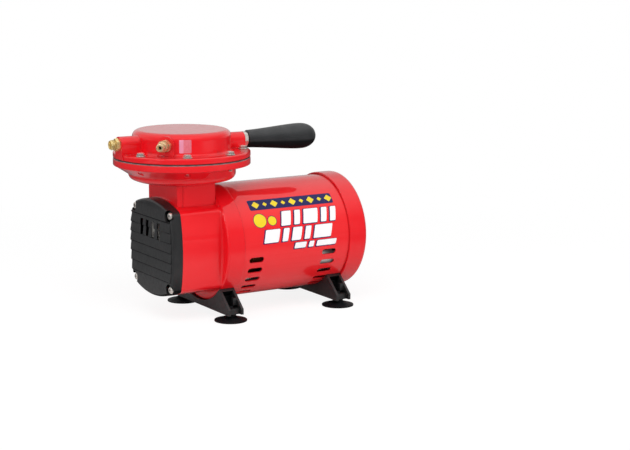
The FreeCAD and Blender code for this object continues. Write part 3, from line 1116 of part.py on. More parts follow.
def capacitor():
    turn = CAPACITOR_ANGLE - 270
    z = AXIS_Z - CAPACITOR_CIRCLE_R
    can = cyl_x(CAPACITOR_R, CAPACITOR_X, CAPACITOR_X + CAPACITOR_LENGTH, z=z)
    can = can.makeFillet(1.5, [e for e in can.Edges if e.Closed])
    tabs = [block(CAPACITOR_X + CAPACITOR_LENGTH - 1, CAPACITOR_X + CAPACITOR_LENGTH + 5, y - 2, y + 2,
                  z - 0.4, z + 0.4) for y in (-4, 4)]
    save("run_capacitor", around_x(fused([can] + tabs), turn))
    inner = CAPACITOR_R + SEAT_GAP
    outer = inner + CAPACITOR_STRAP_T
    x1 = STRAP_X + STRAP_W
    arch_ring = ring_x(outer, inner, STRAP_X, x1, z=z).common(block(STRAP_X, x1, -outer, outer, z, z + outer))
    low = AXIS_Z - TUBE_INNER_R
    shell = ring_x(TUBE_INNER_R - SEAT_GAP, TUBE_INNER_R - SEAT_GAP - CAPACITOR_STRAP_T, STRAP_X, x1)
    pieces = [arch_ring]
    for side in (-1, 1):
        y0, y1 = sorted([side * inner, side * outer])
        leg = block(STRAP_X, x1, y0, y1, low, z).common(cyl_x(TUBE_INNER_R - SEAT_GAP, STRAP_X, x1))
        y0, y1 = sorted([side * inner, side * (outer + STRAP_FLANGE)])
        pieces += [leg, shell.common(block(STRAP_X, x1, y0, y1, low - 1, z))]
    save("capacitor_strap", around_x(fused(pieces), turn))


# ---------------------------------------------------------------- feet


def foot_bracket(name, x, shell_r):
    saddle_r = shell_r + SEAT_GAP
    outer_r = saddle_r + FOOT_SADDLE_T
    reach = math.radians(FOOT_SADDLE_ANGLE)

    def on(radius, angle):
        return V(x - FOOT_WIDTH / 2, radius * math.sin(angle), AXIS_Z - radius * math.cos(angle))

    def at(y, z):
        return V(x - FOOT_WIDTH / 2, y, z)

    lines = [at(-FOOT_END_Y, FOOT_END_TOP_Z), at(-FOOT_END_Y, FOOT_BOTTOM_Z), at(FOOT_END_Y, FOOT_BOTTOM_Z),
             at(FOOT_END_Y, FOOT_END_TOP_Z), on(outer_r, reach), on(saddle_r, reach)]
    edges = [Part.makeLine(on(saddle_r, -reach), on(outer_r, -reach)),
             Part.makeLine(on(outer_r, -reach), lines[0])]
    edges += [Part.makeLine(a, b) for a, b in zip(lines, lines[1:])]
    edges.append(Part.Arc(on(saddle_r, reach), on(saddle_r, 0), on(saddle_r, -reach)).toShape())
    solid = Part.Face(Part.Wire(edges)).extrude(V(FOOT_WIDTH, 0, 0))
    x0 = x - FOOT_WIDTH / 2 + FOOT_PLATE_T
    x1 = x + FOOT_WIDTH / 2 - FOOT_PLATE_T
    channel = block(x0, x1, -FOOT_END_Y - 1, FOOT_END_Y + 1, FOOT_BOTTOM_Z - 1, AXIS_Z)
    solid = solid.cut(channel.cut(cyl_x(outer_r, x0 - 1, x1 + 1)))
    extras = []
    for side in (-1, 1):
        y0, y1 = sorted([side * (CUP_Y - FOOT_BLOCK_HALF), side * (CUP_Y + FOOT_BLOCK_HALF)])
        extras.append(block(x0 - 0.5, x1 + 0.5, y0, y1, FOOT_BOTTOM_Z, FOOT_BOTTOM_Z + FOOT_BLOCK_T))
        extras.append(block(x + 2, x1 + 0.5, side * CUP_Y - 2.4, side * CUP_Y + 2.4,
                            FOOT_BOTTOM_Z + FOOT_BLOCK_T + CUP_TOP_T, FOOT_END_TOP_Z + 11.5))
        web = block(x0 - 0.5, x1 + 0.5, side * FOOT_RIB_Y - RIB_T / 2, side * FOOT_RIB_Y + RIB_T / 2,
                    FOOT_BOTTOM_Z, AXIS_Z)
        extras.append(web.cut(cyl_x(saddle_r + 1, x0 - 2, x1 + 2)))
    solid = fused([solid] + extras)
    for side in (-1, 1):
        solid = solid.cut(cyl_z(CUP_PIN_R + SEAT_GAP, FOOT_BOTTOM_Z - 1, FOOT_BOTTOM_Z + FOOT_BLOCK_T + 1,
                                x, side * CUP_Y))
        hole = foot_screw(x, outer_r + 1, FOOT_SADDLE_T + 3, BOLT_FIT, False)
        solid = solid.cut(around_x(hole, side * FOOT_SCREW_ANGLE))
    save(name, solid)
    return outer_r


def foot_screws(places):
    screws = []
    for x, outer_r in places:
        for side in (-1, 1):
            screw = foot_screw(x, outer_r, FOOT_SADDLE_T + FOOT_SCREW_DEPTH - 1)
            screws.append(around_x(screw, side * FOOT_SCREW_ANGLE))
    save_group("foot_screws", screws)


def suction_cup(name, x, y):
    top = FOOT_BOTTOM_Z + FOOT_BLOCK_T
    profile = [(0, 3.2), (CUP_R * 0.62, 2.2), (CUP_R - 1.7, 0), (CUP_R, 0), (CUP_R, CUP_RIM_T),
               (CUP_R * 0.55, 3.9), (CUP_STEM_R, 5.4), (CUP_STEM_R, FOOT_BOTTOM_Z),
               (CUP_PIN_R, FOOT_BOTTOM_Z), (CUP_PIN_R, top), (CUP_BARB_R, top),
               (CUP_PIN_R - 0.4, top + CUP_TOP_T - 0.4), (0, top + CUP_TOP_T - 0.4)]
    save(name, revolve_z(profile, x, y))


# ---------------------------------------------------------------- rear of the cap


def rocker_switch():
    z = AXIS_Z + SWITCH_Z
    frame = block(CAP_BACK_X, CAP_BACK_X + SWITCH_BEZEL, SWITCH_Y - SWITCH_W / 2 - 1.6,
                  SWITCH_Y + SWITCH_W / 2 + 1.6, z - SWITCH_H / 2 - 1.6, z + SWITCH_H / 2 + 1.6)
    frame = fillet_where(frame, 1.2, lambda e: is_along(e, X_AXIS))
    body = block(CAP_BACK_X - SWITCH_DEPTH, CAP_BACK_X + 0.5, SWITCH_Y - SWITCH_W / 2,
                 SWITCH_Y + SWITCH_W / 2, z - SWITCH_H / 2, z + SWITCH_H / 2)
    well = block(CAP_BACK_X - SWITCH_DEPTH + 5, CAP_BACK_X + 5, SWITCH_Y - SWITCH_W / 2 + SWITCH_WALL,
                 SWITCH_Y + SWITCH_W / 2 - SWITCH_WALL, z - SWITCH_H / 2 + SWITCH_WALL,
                 z + SWITCH_H / 2 - SWITCH_WALL)
    blades = [block(CAP_BACK_X - SWITCH_DEPTH - 6, CAP_BACK_X - SWITCH_DEPTH + 1, SWITCH_Y - 2.4,
                    SWITCH_Y + 2.4, z + dz - 0.4, z + dz + 0.4) for dz in (-5, 5)]
    housing = fused([frame, body] + blades).cut(well)
    pin_hole = Part.makeCylinder(ROCKER_PIN_R + RUN_FIT, SWITCH_W - 0.6,
                                 V(ROCKER_PIVOT_X, SWITCH_Y - SWITCH_W / 2 + 0.3, z), Y_AXIS)
    save("switch_housing", housing.cut(pin_hole))

    half_h = SWITCH_H / 2 - SWITCH_WALL - ROCKER_GAP - 0.3
    half_w = SWITCH_W / 2 - SWITCH_WALL - ROCKER_GAP
    outline = [(-2.0, -half_h), (2.6, -half_h), (1.5, 0), (2.6, half_h), (-2.0, half_h), (-4.0, 0)]
    points = [V(ROCKER_PIVOT_X + u, SWITCH_Y - half_w, z + v) for u, v in outline]
    rocker = Part.Face(Part.makePolygon(points + [points[0]])).extrude(V(0, 2 * half_w, 0))
    pin = Part.makeCylinder(ROCKER_PIN_R, SWITCH_W - 1.0,
                            V(ROCKER_PIVOT_X, SWITCH_Y - SWITCH_W / 2 + 0.5, z), Y_AXIS)
    rocker = rocker.fuse(pin).removeSplitter()
    rocker.rotate(V(ROCKER_PIVOT_X, SWITCH_Y, z), Y_AXIS, -ROCKER_HALF_TILT)
    save("switch_rocker", rocker)


def cable_gland():
    z = AXIS_Z + GLAND_Z
    x = CAP_BACK_X
    thread = cyl_x(GLAND_R - 2, x - 8, x + 0.5, GLAND_Y, z)
    nut = hex_prism(GLAND_R - 0.7, 4.0)
    nut.translate(V(x, GLAND_Y, z))
    dome = Part.makeCone(GLAND_R - 1.2, GLAND_R - 3.2, GLAND_REACH - 3.8,
                         V(x + 3.8, GLAND_Y, z), X_AXIS)
    body = fused([thread, nut, dome]).cut(cyl_x(CORD_BORE_R, x - 9, x + GLAND_REACH + 1, GLAND_Y, z))
    save("cable_gland", body)
    lock = hex_prism(GLAND_R - 0.7, 3.0)
    lock.translate(V(x - CAP_WALL - 3.0, GLAND_Y, z))
    save("gland_nut", lock.cut(cyl_x(GLAND_R - 2 + SEAT_GAP, x - CAP_WALL - 4, x, GLAND_Y, z)))


# ---------------------------------------------------------------- the whole compressor
def build():
    crankcase()
    front_cover()
    cover_screws()
    motor_tube()
    rear_cap()
    head_cover()
    diaphragm()
    flange_screws()
    valve_plate()
    delivery_z = VALVE_PLATE_Z + VALVE_PLATE_T
    reed("outlet_reed", delivery_z, -1)
    reed_clamp("outlet_reed_stop", delivery_z, -1, True)
    reed_screws("outlet_reed_screws", delivery_z, -1, 3.0)
    outlet_fitting()
    relief_valve()
    handle()
    stator()
    rotor()
    bearing("front_bearing", BEARING_X, BEARING_WIDTH, SHAFT_R, BEARING_OUTER_R, BEARING_RING_T, BALLS,
            AXIS_Z, "front_bearing_outer", "front_bearing_inner")
    bearing("rear_bearing", REAR_BEARING_X, BEARING_WIDTH, SHAFT_R, BEARING_OUTER_R, BEARING_RING_T, BALLS,
            AXIS_Z, "rear_bearing_outer", "rear_bearing_inner")
    bearing("crank_bearing", -CRANK_BEARING_WIDTH / 2, CRANK_BEARING_WIDTH, CRANK_BEARING_BORE_R,
            CRANK_BEARING_R, CRANK_RING_T, CRANK_BALLS, PIN_Z, "crank_bearing_outer", "crank_bearing_inner")
    eccentric()
    connecting_rod()
    tie_bolts()
    capacitor()
    front_r = foot_bracket("front_foot_bracket", FOOT_FRONT_X, BELL_R)
    rear_r = foot_bracket("rear_foot_bracket", FOOT_REAR_X, TUBE_R)
    foot_screws([(FOOT_FRONT_X, front_r), (FOOT_REAR_X, rear_r)])
    for end, x in (("front", FOOT_FRONT_X), ("rear", FOOT_REAR_X)):
        for side, y in (("right", -CUP_Y), ("left", CUP_Y)):
            suction_cup(end + "_" + side + "_suction_cup", x, y)
    rocker_switch()
    cable_gland()


build()
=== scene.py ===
# %% [markdown]
# # A small diaphragm compressor, dressed for a studio picture
#
# The compressor is a motor in a slotted red tube with a drum-shaped diaphragm head on its
# crankcase. Its solids come ready-made as a frame. This lesson gives them their paint, plastic,
# rubber and metal, and replaces the small hardware by finer meshes.
#
# The frame is in metres. +X runs along the motor towards its rear cap, +Z is up, and the origin
# lies on the floor under the middle of the machine. The places below are worked out from the
# frame's own boxes, so that the dressing sits on the frame wherever its parts are. Only the
# small hardware and the printed pattern are given in millimetres.

# %% Load the frame
import json
import math

import bmesh
import bpy
import numpy as np
from mathutils import Matrix, Vector


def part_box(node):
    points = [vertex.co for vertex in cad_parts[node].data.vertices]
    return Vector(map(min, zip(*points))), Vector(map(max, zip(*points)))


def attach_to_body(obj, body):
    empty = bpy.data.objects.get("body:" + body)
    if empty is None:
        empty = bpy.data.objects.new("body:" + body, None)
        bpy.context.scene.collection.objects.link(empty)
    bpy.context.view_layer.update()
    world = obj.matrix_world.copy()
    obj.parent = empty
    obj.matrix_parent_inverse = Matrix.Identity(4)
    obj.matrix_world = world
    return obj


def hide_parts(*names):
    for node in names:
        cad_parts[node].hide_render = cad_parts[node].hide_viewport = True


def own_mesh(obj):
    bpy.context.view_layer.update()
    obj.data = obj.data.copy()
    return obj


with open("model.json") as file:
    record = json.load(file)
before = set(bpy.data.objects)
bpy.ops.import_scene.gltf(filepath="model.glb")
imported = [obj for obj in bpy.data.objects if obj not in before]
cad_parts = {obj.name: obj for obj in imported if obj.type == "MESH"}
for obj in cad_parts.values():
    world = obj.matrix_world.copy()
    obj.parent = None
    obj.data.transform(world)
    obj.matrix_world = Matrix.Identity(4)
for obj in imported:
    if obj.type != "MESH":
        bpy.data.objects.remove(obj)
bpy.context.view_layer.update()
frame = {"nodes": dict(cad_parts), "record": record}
MM = 0.001

# %% [markdown]
# ## Places to measure from
#
# A few of them say everything that the dressing needs: the motor's axis, the tube's radius,
# the head's axis and the heights of its flanges.


# %% Measure the frame
WELD_DISTANCE = 0.002 * MM


def centre_of(node):
    """Middle of a node's box."""
    low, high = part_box(node)
    return (low + high) / 2


def half_size(node):
    """Half of a node's box along X, Y and Z."""
    low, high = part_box(node)
    return (high - low) / 2


def islands(node):
    """Boxes of a node's separate solids, as (low, high) corners, from left to right."""
    work = bmesh.new()
    work.from_mesh(frame["nodes"][node].data)
    bmesh.ops.remove_doubles(work, verts=work.verts, dist=WELD_DISTANCE)
    unseen = set(work.verts)
    boxes = []
    while unseen:
        queue = [unseen.pop()]
        reached = list(queue)
        while queue:
            for edge in queue.pop().link_edges:
                for vertex in edge.verts:
                    if vertex in unseen:
                        unseen.remove(vertex)
                        queue.append(vertex)
                        reached.append(vertex)
        places = np.array([vertex.co[:] for vertex in reached])
        boxes.append((Vector(places.min(axis=0)), Vector(places.max(axis=0))))
    work.free()
    return sorted(boxes, key=lambda box: tuple(box[0]))


def new_object(name, data):
    """An object in the scene that shows a mesh, a lamp or a camera."""
    made = bpy.data.objects.new(name, data)
    bpy.context.scene.collection.objects.link(made)
    return made


def mesh_of(work, name):
    """A new mesh out of a bmesh, which is freed."""
    mesh = bpy.data.meshes.new(name)
    work.to_mesh(mesh)
    work.free()
    return mesh


motor_axis = centre_of("motor_tube")
tube_radius = half_size("motor_tube").y
head_axis = centre_of("diaphragm")
flange_radius = half_size("diaphragm").x + 0.5 * MM

print(f"tube radius {tube_radius / MM:.1f} mm, motor axis at z = {motor_axis.z / MM:.1f} mm")
print(f"flange radius {flange_radius / MM:.1f} mm, head axis at x = {head_axis.x / MM:.1f} mm")

# %% [markdown]
# ## A small workshop for finishes
#
# Every finish is a Principled shader with a few textures in front of it. Writing each node by
# hand would fill pages, so `Finish` keeps one material's tree and adds nodes to it in a line
# each. The textures read *Object* coordinates. Each piece sits at the origin, so these are plain
# metres in the machine's own frame, and a grain keeps its size from piece to piece.


# %% The Finish helper
SAMPLES = 4              # rays that a bevel or a crevice shader sends out


def feed(tree, socket, value):
    """Links another node's output to a socket, or sets the socket to a plain value."""
    if isinstance(value, bpy.types.NodeSocket):
        tree.links.new(value, socket)
    else:
        socket.default_value = value


def add_node(tree, kind, settings=None, **inputs):
    """Adds a node to a tree: its own settings first, then its sockets by name."""
    made = tree.nodes.new(kind)
    for key, value in (settings or {}).items():
        setattr(made, key, value)
    for key, value in inputs.items():
        feed(tree, made.inputs[key.replace("_", " ")], value)
    return made


def add_math(tree, operation, first, second=0.0):
    """One sum, product or comparison of two values."""
    made = add_node(tree, "ShaderNodeMath", {"operation": operation})
    feed(tree, made.inputs[0], first)
    feed(tree, made.inputs[1], second)
    return made.outputs["Value"]


def add_range(tree, value, low, high, new_low=0.0, new_high=1.0):
    """Carries a value from one range to another and holds it at the ends."""
    return add_node(tree, "ShaderNodeMapRange", {"clamp": True}, Value=value, From_Min=low,
                    From_Max=high, To_Min=new_low, To_Max=new_high).outputs["Result"]


class Finish:
    """One material while its nodes are being added."""

    def __init__(self, name, colour, roughness, metallic=0.0, coat=0.0, specular=0.5):
        self.material = bpy.data.materials.new(name)
        self.material.use_nodes = True
        self.tree = self.material.node_tree
        self.shader = self.tree.nodes["Principled BSDF"]
        self.shader.inputs["Base Color"].default_value = (*colour, 1.0)
        self.shader.inputs["Roughness"].default_value = roughness
        self.shader.inputs["Metallic"].default_value = metallic
        self.shader.inputs["Coat Weight"].default_value = coat
        self.shader.inputs["Coat Roughness"].default_value = 0.03
        self.shader.inputs["Specular IOR Level"].default_value = specular
        self.place = self.node("ShaderNodeTexCoord").outputs["Object"]
        self.last_normal = None

    def node(self, kind, settings=None, **inputs):
        """Adds a node. `settings` are its own properties, `inputs` its sockets by name."""
        return add_node(self.tree, kind, settings, **inputs)

    def stretched(self, scale):
        """Object coordinates, scaled by a different amount along each axis."""
        made = self.node("ShaderNodeMapping", {"vector_type": "POINT"}, Vector=self.place,
                         Scale=scale)
        return made.outputs["Vector"]

    def part(self, axis, vector=None):
        """The X, Y or Z part of the place, or of another vector."""
        return self.node("ShaderNodeSeparateXYZ", Vector=vector or self.place).outputs[axis]

    def noise(self, scale, detail=3.0, place=None):
        """Soft cloudy pattern, `scale` cells to the metre."""
        return self.node("ShaderNodeTexNoise", Vector=place or self.place, Scale=scale,
                         Detail=detail).outputs["Fac"]

    def cells(self, scale):
        """Distance to the nearest of many scattered points."""
        return self.node("ShaderNodeTexVoronoi", Vector=self.place, Scale=scale).outputs["Distance"]

    def to_range(self, value, low, high, new_low, new_high):
        """Stretches a value's range to another one and clamps it there."""
        return add_range(self.tree, value, low, high, new_low, new_high)

    def patches(self, scale, detail, low, high, edges=(0.3, 0.7)):
        """Cloudy patches whose value runs from low to high; `edges` sets how hard they end."""
        return self.to_range(self.noise(scale, detail), *edges, low, high)

    def math(self, operation, first, second=0.0):
        """One sum, product or comparison of two values."""
        return add_math(self.tree, operation, first, second)

    def blend(self, factor, under, over):
        """Lays the colour `over` on the colour `under` where the factor is 1."""
        made = self.node("ShaderNodeMix", {"data_type": "RGBA"})
        feed(self.tree, made.inputs[0], factor)
        for socket, colour in ((made.inputs[6], under), (made.inputs[7], over)):
            feed(self.tree, socket, (*colour, 1.0) if isinstance(colour, tuple) else colour)
        return made.outputs[2]

    def worn_edges(self):
        """1 along sharp outer edges, 0 elsewhere. Flat faces have a pointiness of 0.5."""
        sharp = self.node("ShaderNodeNewGeometry").outputs["Pointiness"]
        return self.to_range(sharp, 0.53, 0.62, 0.0, 1.0)

    def crevices(self, distance, deep=0.25, open_air=0.85):
        """1 deep in corners, 0 on open surface."""
        made = self.node("ShaderNodeAmbientOcclusion", {"samples": SAMPLES}, Distance=distance)
        return self.to_range(made.outputs["AO"], deep, open_air, 1.0, 0.0)

    def near_axis(self, half_width, half_height):
        """1 inside a long box around the motor's axis, 0 outside it."""
        sideways = self.math("ABSOLUTE", self.part("Y"))
        upwards = self.math("ABSOLUTE", self.math("SUBTRACT", self.part("Z"), motor_axis.z))
        return self.math("MULTIPLY", self.math("LESS_THAN", sideways, half_width),
                         self.math("LESS_THAN", upwards, half_height))

    def paint(self, colour):
        """Gives the surface its colour."""
        self.tree.links.new(colour, self.shader.inputs["Base Color"])

    def roughen(self, value):
        """Gives the surface its roughness."""
        self.tree.links.new(value, self.shader.inputs["Roughness"])

    def face_along(self, made):
        """Lets a node's result turn the surface and its coat."""
        self.last_normal = made.outputs["Normal"]
        self.tree.links.new(self.last_normal, self.shader.inputs["Normal"])
        self.tree.links.new(self.last_normal, self.shader.inputs["Coat Normal"])

    def rounded(self, radius):
        """Shades sharp edges as if they had this radius. It comes before any relief."""
        self.face_along(self.node("ShaderNodeBevel", {"samples": SAMPLES}, Radius=radius))

    def relief(self, height, depth):
        """Bumps the surface by up to `depth` metres. A second call adds to the first."""
        made = self.node("ShaderNodeBump", Height=height, Distance=depth, Strength=1.0)
        if self.last_normal is not None:
            self.tree.links.new(self.last_normal, made.inputs["Normal"])
        self.face_along(made)


finishes = {}


def keep(slot, finish):
    """Files a finished material under the frame's slot name."""
    finishes[slot] = finish.material
    print(f"finish {slot}: {len(finish.tree.nodes)} nodes")


# %% [markdown]
# ## Red enamel
#
# The paint is a bright fire red under a hard gloss. What makes enamel look like enamel is the
# *orange peel*: a soft ripple a few millimetres long that bends the reflections a little. A
# coat layer carries the gloss, and a bump on both layers carries the ripple. On the castings
# the metal under the paint is coarser, so the ripple is deeper there and fine grit shows
# through. Paint is thinner and slightly paler along sharp edges, and darker in corners as a
# painted shade. The inside of the crankcase is painted near-black as shade, for the dark
# chamber behind the slots: a box around the motor's axis, a little narrower than the casting,
# tells the shader where that is.


# %% Enamel on sheet steel and on castings
INSIDE_HALF_WIDTH = 52.2 * MM
INSIDE_HALF_HEIGHT = 36 * MM


def red_enamel(slot, ripple_depth, grit_depth, painted_inside_shade=False):
    """Glossy red paint; on a casting the inside is painted near-black as shade."""
    red = (0.80, 0.0060, 0.0125)
    finish = Finish(slot, red, 0.34, coat=1.0, specular=0.15)
    finish.rounded(0.8 * MM)
    colour = finish.blend(finish.patches(14.0, 3.0, 0.0, 0.5), red, (0.74, 0.0050, 0.0105))
    # Painted shade: the colour turns darker deep in corners.
    painted_corner_shade = finish.math("MULTIPLY", finish.crevices(3 * MM), 0.45)
    colour = finish.blend(painted_corner_shade, colour, (0.36, 0.002, 0.005))
    thin = finish.math("MULTIPLY", finish.worn_edges(), 0.2)
    colour = finish.blend(thin, colour, (0.92, 0.05, 0.05))
    # Painted shade: inside the box around the axis the colour is near-black.
    if painted_inside_shade:
        inside = finish.near_axis(INSIDE_HALF_WIDTH, INSIDE_HALF_HEIGHT)
        colour = finish.blend(inside, colour, (0.012, 0.010, 0.010))
    finish.paint(colour)
    finish.roughen(finish.patches(160.0, 5.0, 0.28, 0.40))
    finish.relief(finish.noise(170.0, 1.0), ripple_depth)
    finish.relief(finish.noise(1500.0, 2.0), grit_depth)
    keep(slot, finish)


red_enamel("red_enamel", ripple_depth=0.012 * MM, grit_depth=0.0006 * MM)
red_enamel("red_cast", ripple_depth=0.035 * MM, grit_depth=0.002 * MM, painted_inside_shade=True)

# %% [markdown]
# ## Black plastics and rubber
#
# Three blacks sit next to each other and must not look alike. The moulded cover and feet are a
# satin grey-black with the fine leathery grain that a spark-eroded mould leaves. The grip is
# smoother, with a slow variation from hands. The suction cups are rubber: darker, with a dull
# bloom. Faces that look down are painted darker as shade, and their reflection is turned down,
# as they mirror only the dark floor close by. Corners and the steps under the ribs are painted
# darker too, as shade.


# %% Moulded plastic, grip and cup rubber
LOOKS_DOWN = -0.32       # upward part of the normal, where a face counts as an underside
LOOKS_SIDEWAYS = -0.12   # and where it no longer does


def grained_plastic(slot, colour, roughness, grain, depth, shine=0.70):
    """Moulded plastic or rubber with a leathery grain."""
    finish = Finish(slot, colour, roughness, specular=shine)
    finish.rounded(0.35 * MM)
    paler = tuple(min(1.0, c * 1.7 + 0.004) for c in colour)
    worn_and_shaded = finish.blend(finish.patches(70.0, 4.0, 0.0, 0.5, edges=(0.35, 0.75)), colour, paler)
    scuffs = finish.patches(35.0, 4.0, 0.0, 0.3, edges=(0.55, 0.75))
    worn_and_shaded = finish.blend(scuffs, worn_and_shaded, tuple(c + 0.008 for c in colour))
    # Painted shade: darker deep in corners and under the ribs' steps.
    shaded = finish.math("MULTIPLY", finish.crevices(6 * MM, 0.45, 0.92), 0.92)
    worn_and_shaded = finish.blend(shaded, worn_and_shaded, tuple(c * 0.25 for c in colour))
    tilt = finish.part("Z", finish.node("ShaderNodeNewGeometry").outputs["Normal"])
    feed(finish.tree, finish.shader.inputs["Specular IOR Level"],
         finish.to_range(tilt, LOOKS_DOWN, LOOKS_SIDEWAYS, 0.02, shine))
    # Painted shade: faces that look down get a darker colour.
    painted_underside_shade = finish.to_range(tilt, LOOKS_DOWN, LOOKS_SIDEWAYS, 0.8, 0.0)
    finish.paint(finish.blend(painted_underside_shade, worn_and_shaded, tuple(c * 0.3 for c in colour)))
    finish.roughen(finish.patches(240.0, 5.0, roughness - 0.07, roughness + 0.09))
    finish.relief(finish.cells(grain), depth)
    finish.relief(finish.noise(90.0, 2.0), depth * 2)
    keep(slot, finish)


grained_plastic("black_plastic", (0.0096, 0.0101, 0.0108), 0.43, grain=1500.0, depth=0.007 * MM)
grained_plastic("grip_plastic", (0.0175, 0.0185, 0.0198), 0.40, grain=2400.0, depth=0.006 * MM)
grained_plastic("switch_plastic", (0.012, 0.012, 0.013), 0.25, grain=2600.0, depth=0.004 * MM)
grained_plastic("cup_rubber", (0.0030, 0.0036, 0.0048), 0.6, grain=1100.0, depth=0.02 * MM,
                shine=0.25)
grained_plastic("white_plastic", (0.62, 0.61, 0.59), 0.35, grain=1200.0, depth=0.01 * MM)

# The sheet between the flanges: talcum-grey at its lower face, and near-black towards the upper
# one, a painted shadow under the upper flange.
SHEET_THICKNESS = 2.0 * MM
seam_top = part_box("head_cover")[0].z
sheet_finish = Finish("diaphragm_rubber", (0.02, 0.02, 0.02), 0.6, specular=0.3)
shade = sheet_finish.to_range(sheet_finish.part("Z"), seam_top - SHEET_THICKNESS * 0.60,
                              seam_top - SHEET_THICKNESS * 0.35, 0.0, 1.0)
talcum = sheet_finish.blend(sheet_finish.patches(160.0, 3.0, 0.0, 1.0, edges=(0.35, 0.65)),
                            (0.30, 0.21, 0.21), (0.18, 0.12, 0.12))
sheet_finish.paint(sheet_finish.blend(shade, talcum, (0.016, 0.012, 0.012)))
sheet_finish.roughen(sheet_finish.patches(900.0, 3.0, 0.5, 0.75))
sheet_finish.relief(sheet_finish.cells(1300.0), 0.02 * MM)
keep("diaphragm_rubber", sheet_finish)

# %% [markdown]
# ## Bare metals
#
# Zinc-plated screws are bright but cloudy, brass is turned on a lathe and keeps a fine ring
# pattern, and cast aluminium is dull and pitted. One function makes them all. The fine lines
# come from a noise that is squeezed along one direction, and the crevices are darkened, partly
# by soiling and partly as painted shade. A metal that is tarnished or oxidised scatters more
# light than a clean mirror does, and a lower *Metallic* value stands for that.


# %% Metals
def metal(slot, colour, roughness, grime_and_shade, lines=(900.0, 900.0, 900.0), line_depth=0.006 * MM,
          metallic=1.0):
    """Bare metal with fine marks, and corners darkened by soiling and by painted shade."""
    finish = Finish(slot, colour, roughness, metallic=metallic)
    finish.rounded(0.2 * MM)
    tinted = tuple(c * 0.84 for c in colour)
    clouded = finish.blend(finish.patches(420.0, 4.0, 0.0, 0.6), colour, tinted)
    # Painted shade, with some soiling: the colour darkens deep in crevices.
    dirt_and_shade = finish.math("MULTIPLY", finish.crevices(1.2 * MM, 0.35, 0.95), 0.85)
    finish.paint(finish.blend(dirt_and_shade, clouded, grime_and_shade))
    marks = finish.noise(1.0, 3.0, place=finish.stretched(lines))
    finish.roughen(finish.to_range(marks, 0.3, 0.7, roughness - 0.08, roughness + 0.14))
    finish.relief(marks, line_depth)
    keep(slot, finish)


metal("zinc_steel", (0.86, 0.81, 0.75), 0.26, (0.05, 0.03, 0.025), metallic=0.80)
metal("spring_steel", (0.55, 0.55, 0.56), 0.24, (0.06, 0.06, 0.06), lines=(2600.0, 300.0, 300.0))
metal("bearing_steel", (0.66, 0.66, 0.67), 0.18, (0.05, 0.05, 0.05), lines=(2600.0, 500.0, 500.0))
metal("lamination_steel", (0.30, 0.30, 0.31), 0.45, (0.03, 0.03, 0.03), lines=(2000.0, 40.0, 40.0),
      line_depth=0.05 * MM)
metal("aluminium", (0.86, 0.86, 0.87), 0.42, (0.20, 0.20, 0.20), line_depth=0.03 * MM,
      metallic=0.10)
metal("cast_weight", (0.92, 0.89, 0.83), 0.38, (0.12, 0.11, 0.10), line_depth=0.04 * MM,
      metallic=0.20)
metal("brass", (0.95, 0.74, 0.33), 0.24, (0.34, 0.20, 0.06), lines=(2800.0, 500.0, 500.0),
      metallic=0.65)
metal("relief_bronze", (0.92, 0.64, 0.36), 0.26, (0.36, 0.19, 0.08), line_depth=0.003 * MM,
      metallic=0.75)
metal("copper_winding", (0.55, 0.20, 0.08), 0.35, (0.06, 0.02, 0.01), lines=(200.0, 2400.0, 2400.0),
      line_depth=0.05 * MM)

# %% [markdown]
# ## Dressing the ready-made solids
#
# A frame node is a heap of loose triangles with hard shading. A copy of it is welded, so that
# neighbouring faces share their corners, and then shaded smooth except across sharp edges. The
# *Weighted Normal* modifier lets the large faces decide the shading at their borders, which
# keeps flat faces flat beside a rounded edge. The copy then stands for the node.


# %% Weld, shade and paint each node
node_slot = {row["node"]: row["material_slot"] for row in frame["record"]["subparts"]}
node_body = {node: body for body, nodes in frame["record"]["behaviour"]["bodies"].items()
             for node in nodes}
SHARP_ANGLE = math.radians(32)


def shade_smooth(mesh, sharp_angle=SHARP_ANGLE):
    """Smooth shading, with an edge kept sharp where its faces meet at more than the angle."""
    work = bmesh.new()
    work.from_mesh(mesh)
    for face in work.faces:
        face.smooth = True
    for edge in work.edges:
        edge.smooth = len(edge.link_faces) == 2 and edge.calc_face_angle(0.0) < sharp_angle
    work.to_mesh(mesh)
    work.free()


def attach(piece, body, slot, *stands_for):
    """Hands a finished piece to the frame: what it rides on and what it replaces. The slot is not
    used.
    """
    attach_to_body(piece, body)
    if stands_for:
        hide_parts(*stands_for)
    return piece


def new_piece(name, mesh, slot):
    """An object at the origin that shows a mesh in one finish."""
    piece = new_object(name, mesh)
    mesh.materials.clear()
    mesh.materials.append(finishes[slot])
    return piece


def welded(node):
    """A copy of a node's mesh with its loose triangles joined up and smoothly shaded."""
    mesh = frame["nodes"][node].data.copy()
    # Normals that came with the mesh would override the new shading.
    if "custom_normal" in mesh.attributes:
        mesh.attributes.remove(mesh.attributes["custom_normal"])
    work = bmesh.new()
    work.from_mesh(mesh)
    bmesh.ops.remove_doubles(work, verts=work.verts, dist=WELD_DISTANCE)
    work.to_mesh(mesh)
    work.free()
    shade_smooth(mesh)
    return mesh


def dress(node):
    """A welded copy of one node, in place of the node."""
    piece = new_piece(node + "_skin", welded(node), node_slot[node])
    weighted = piece.modifiers.new("flat faces stay flat", "WEIGHTED_NORMAL")
    weighted.keep_sharp = True
    weighted.weight = 80
    return attach(piece, node_body[node], node_slot[node], node)


made_anew = {"flange_screws", "tie_bolts", "cover_screws", "outlet_fitting", "relief_valve_body",
             "relief_valve_cap", "handle_nut", "windings", "diaphragm"}
dressed = {node: dress(node) for node in sorted(frame["nodes"]) if node not in made_anew}
print("dressed nodes:", len(dressed))

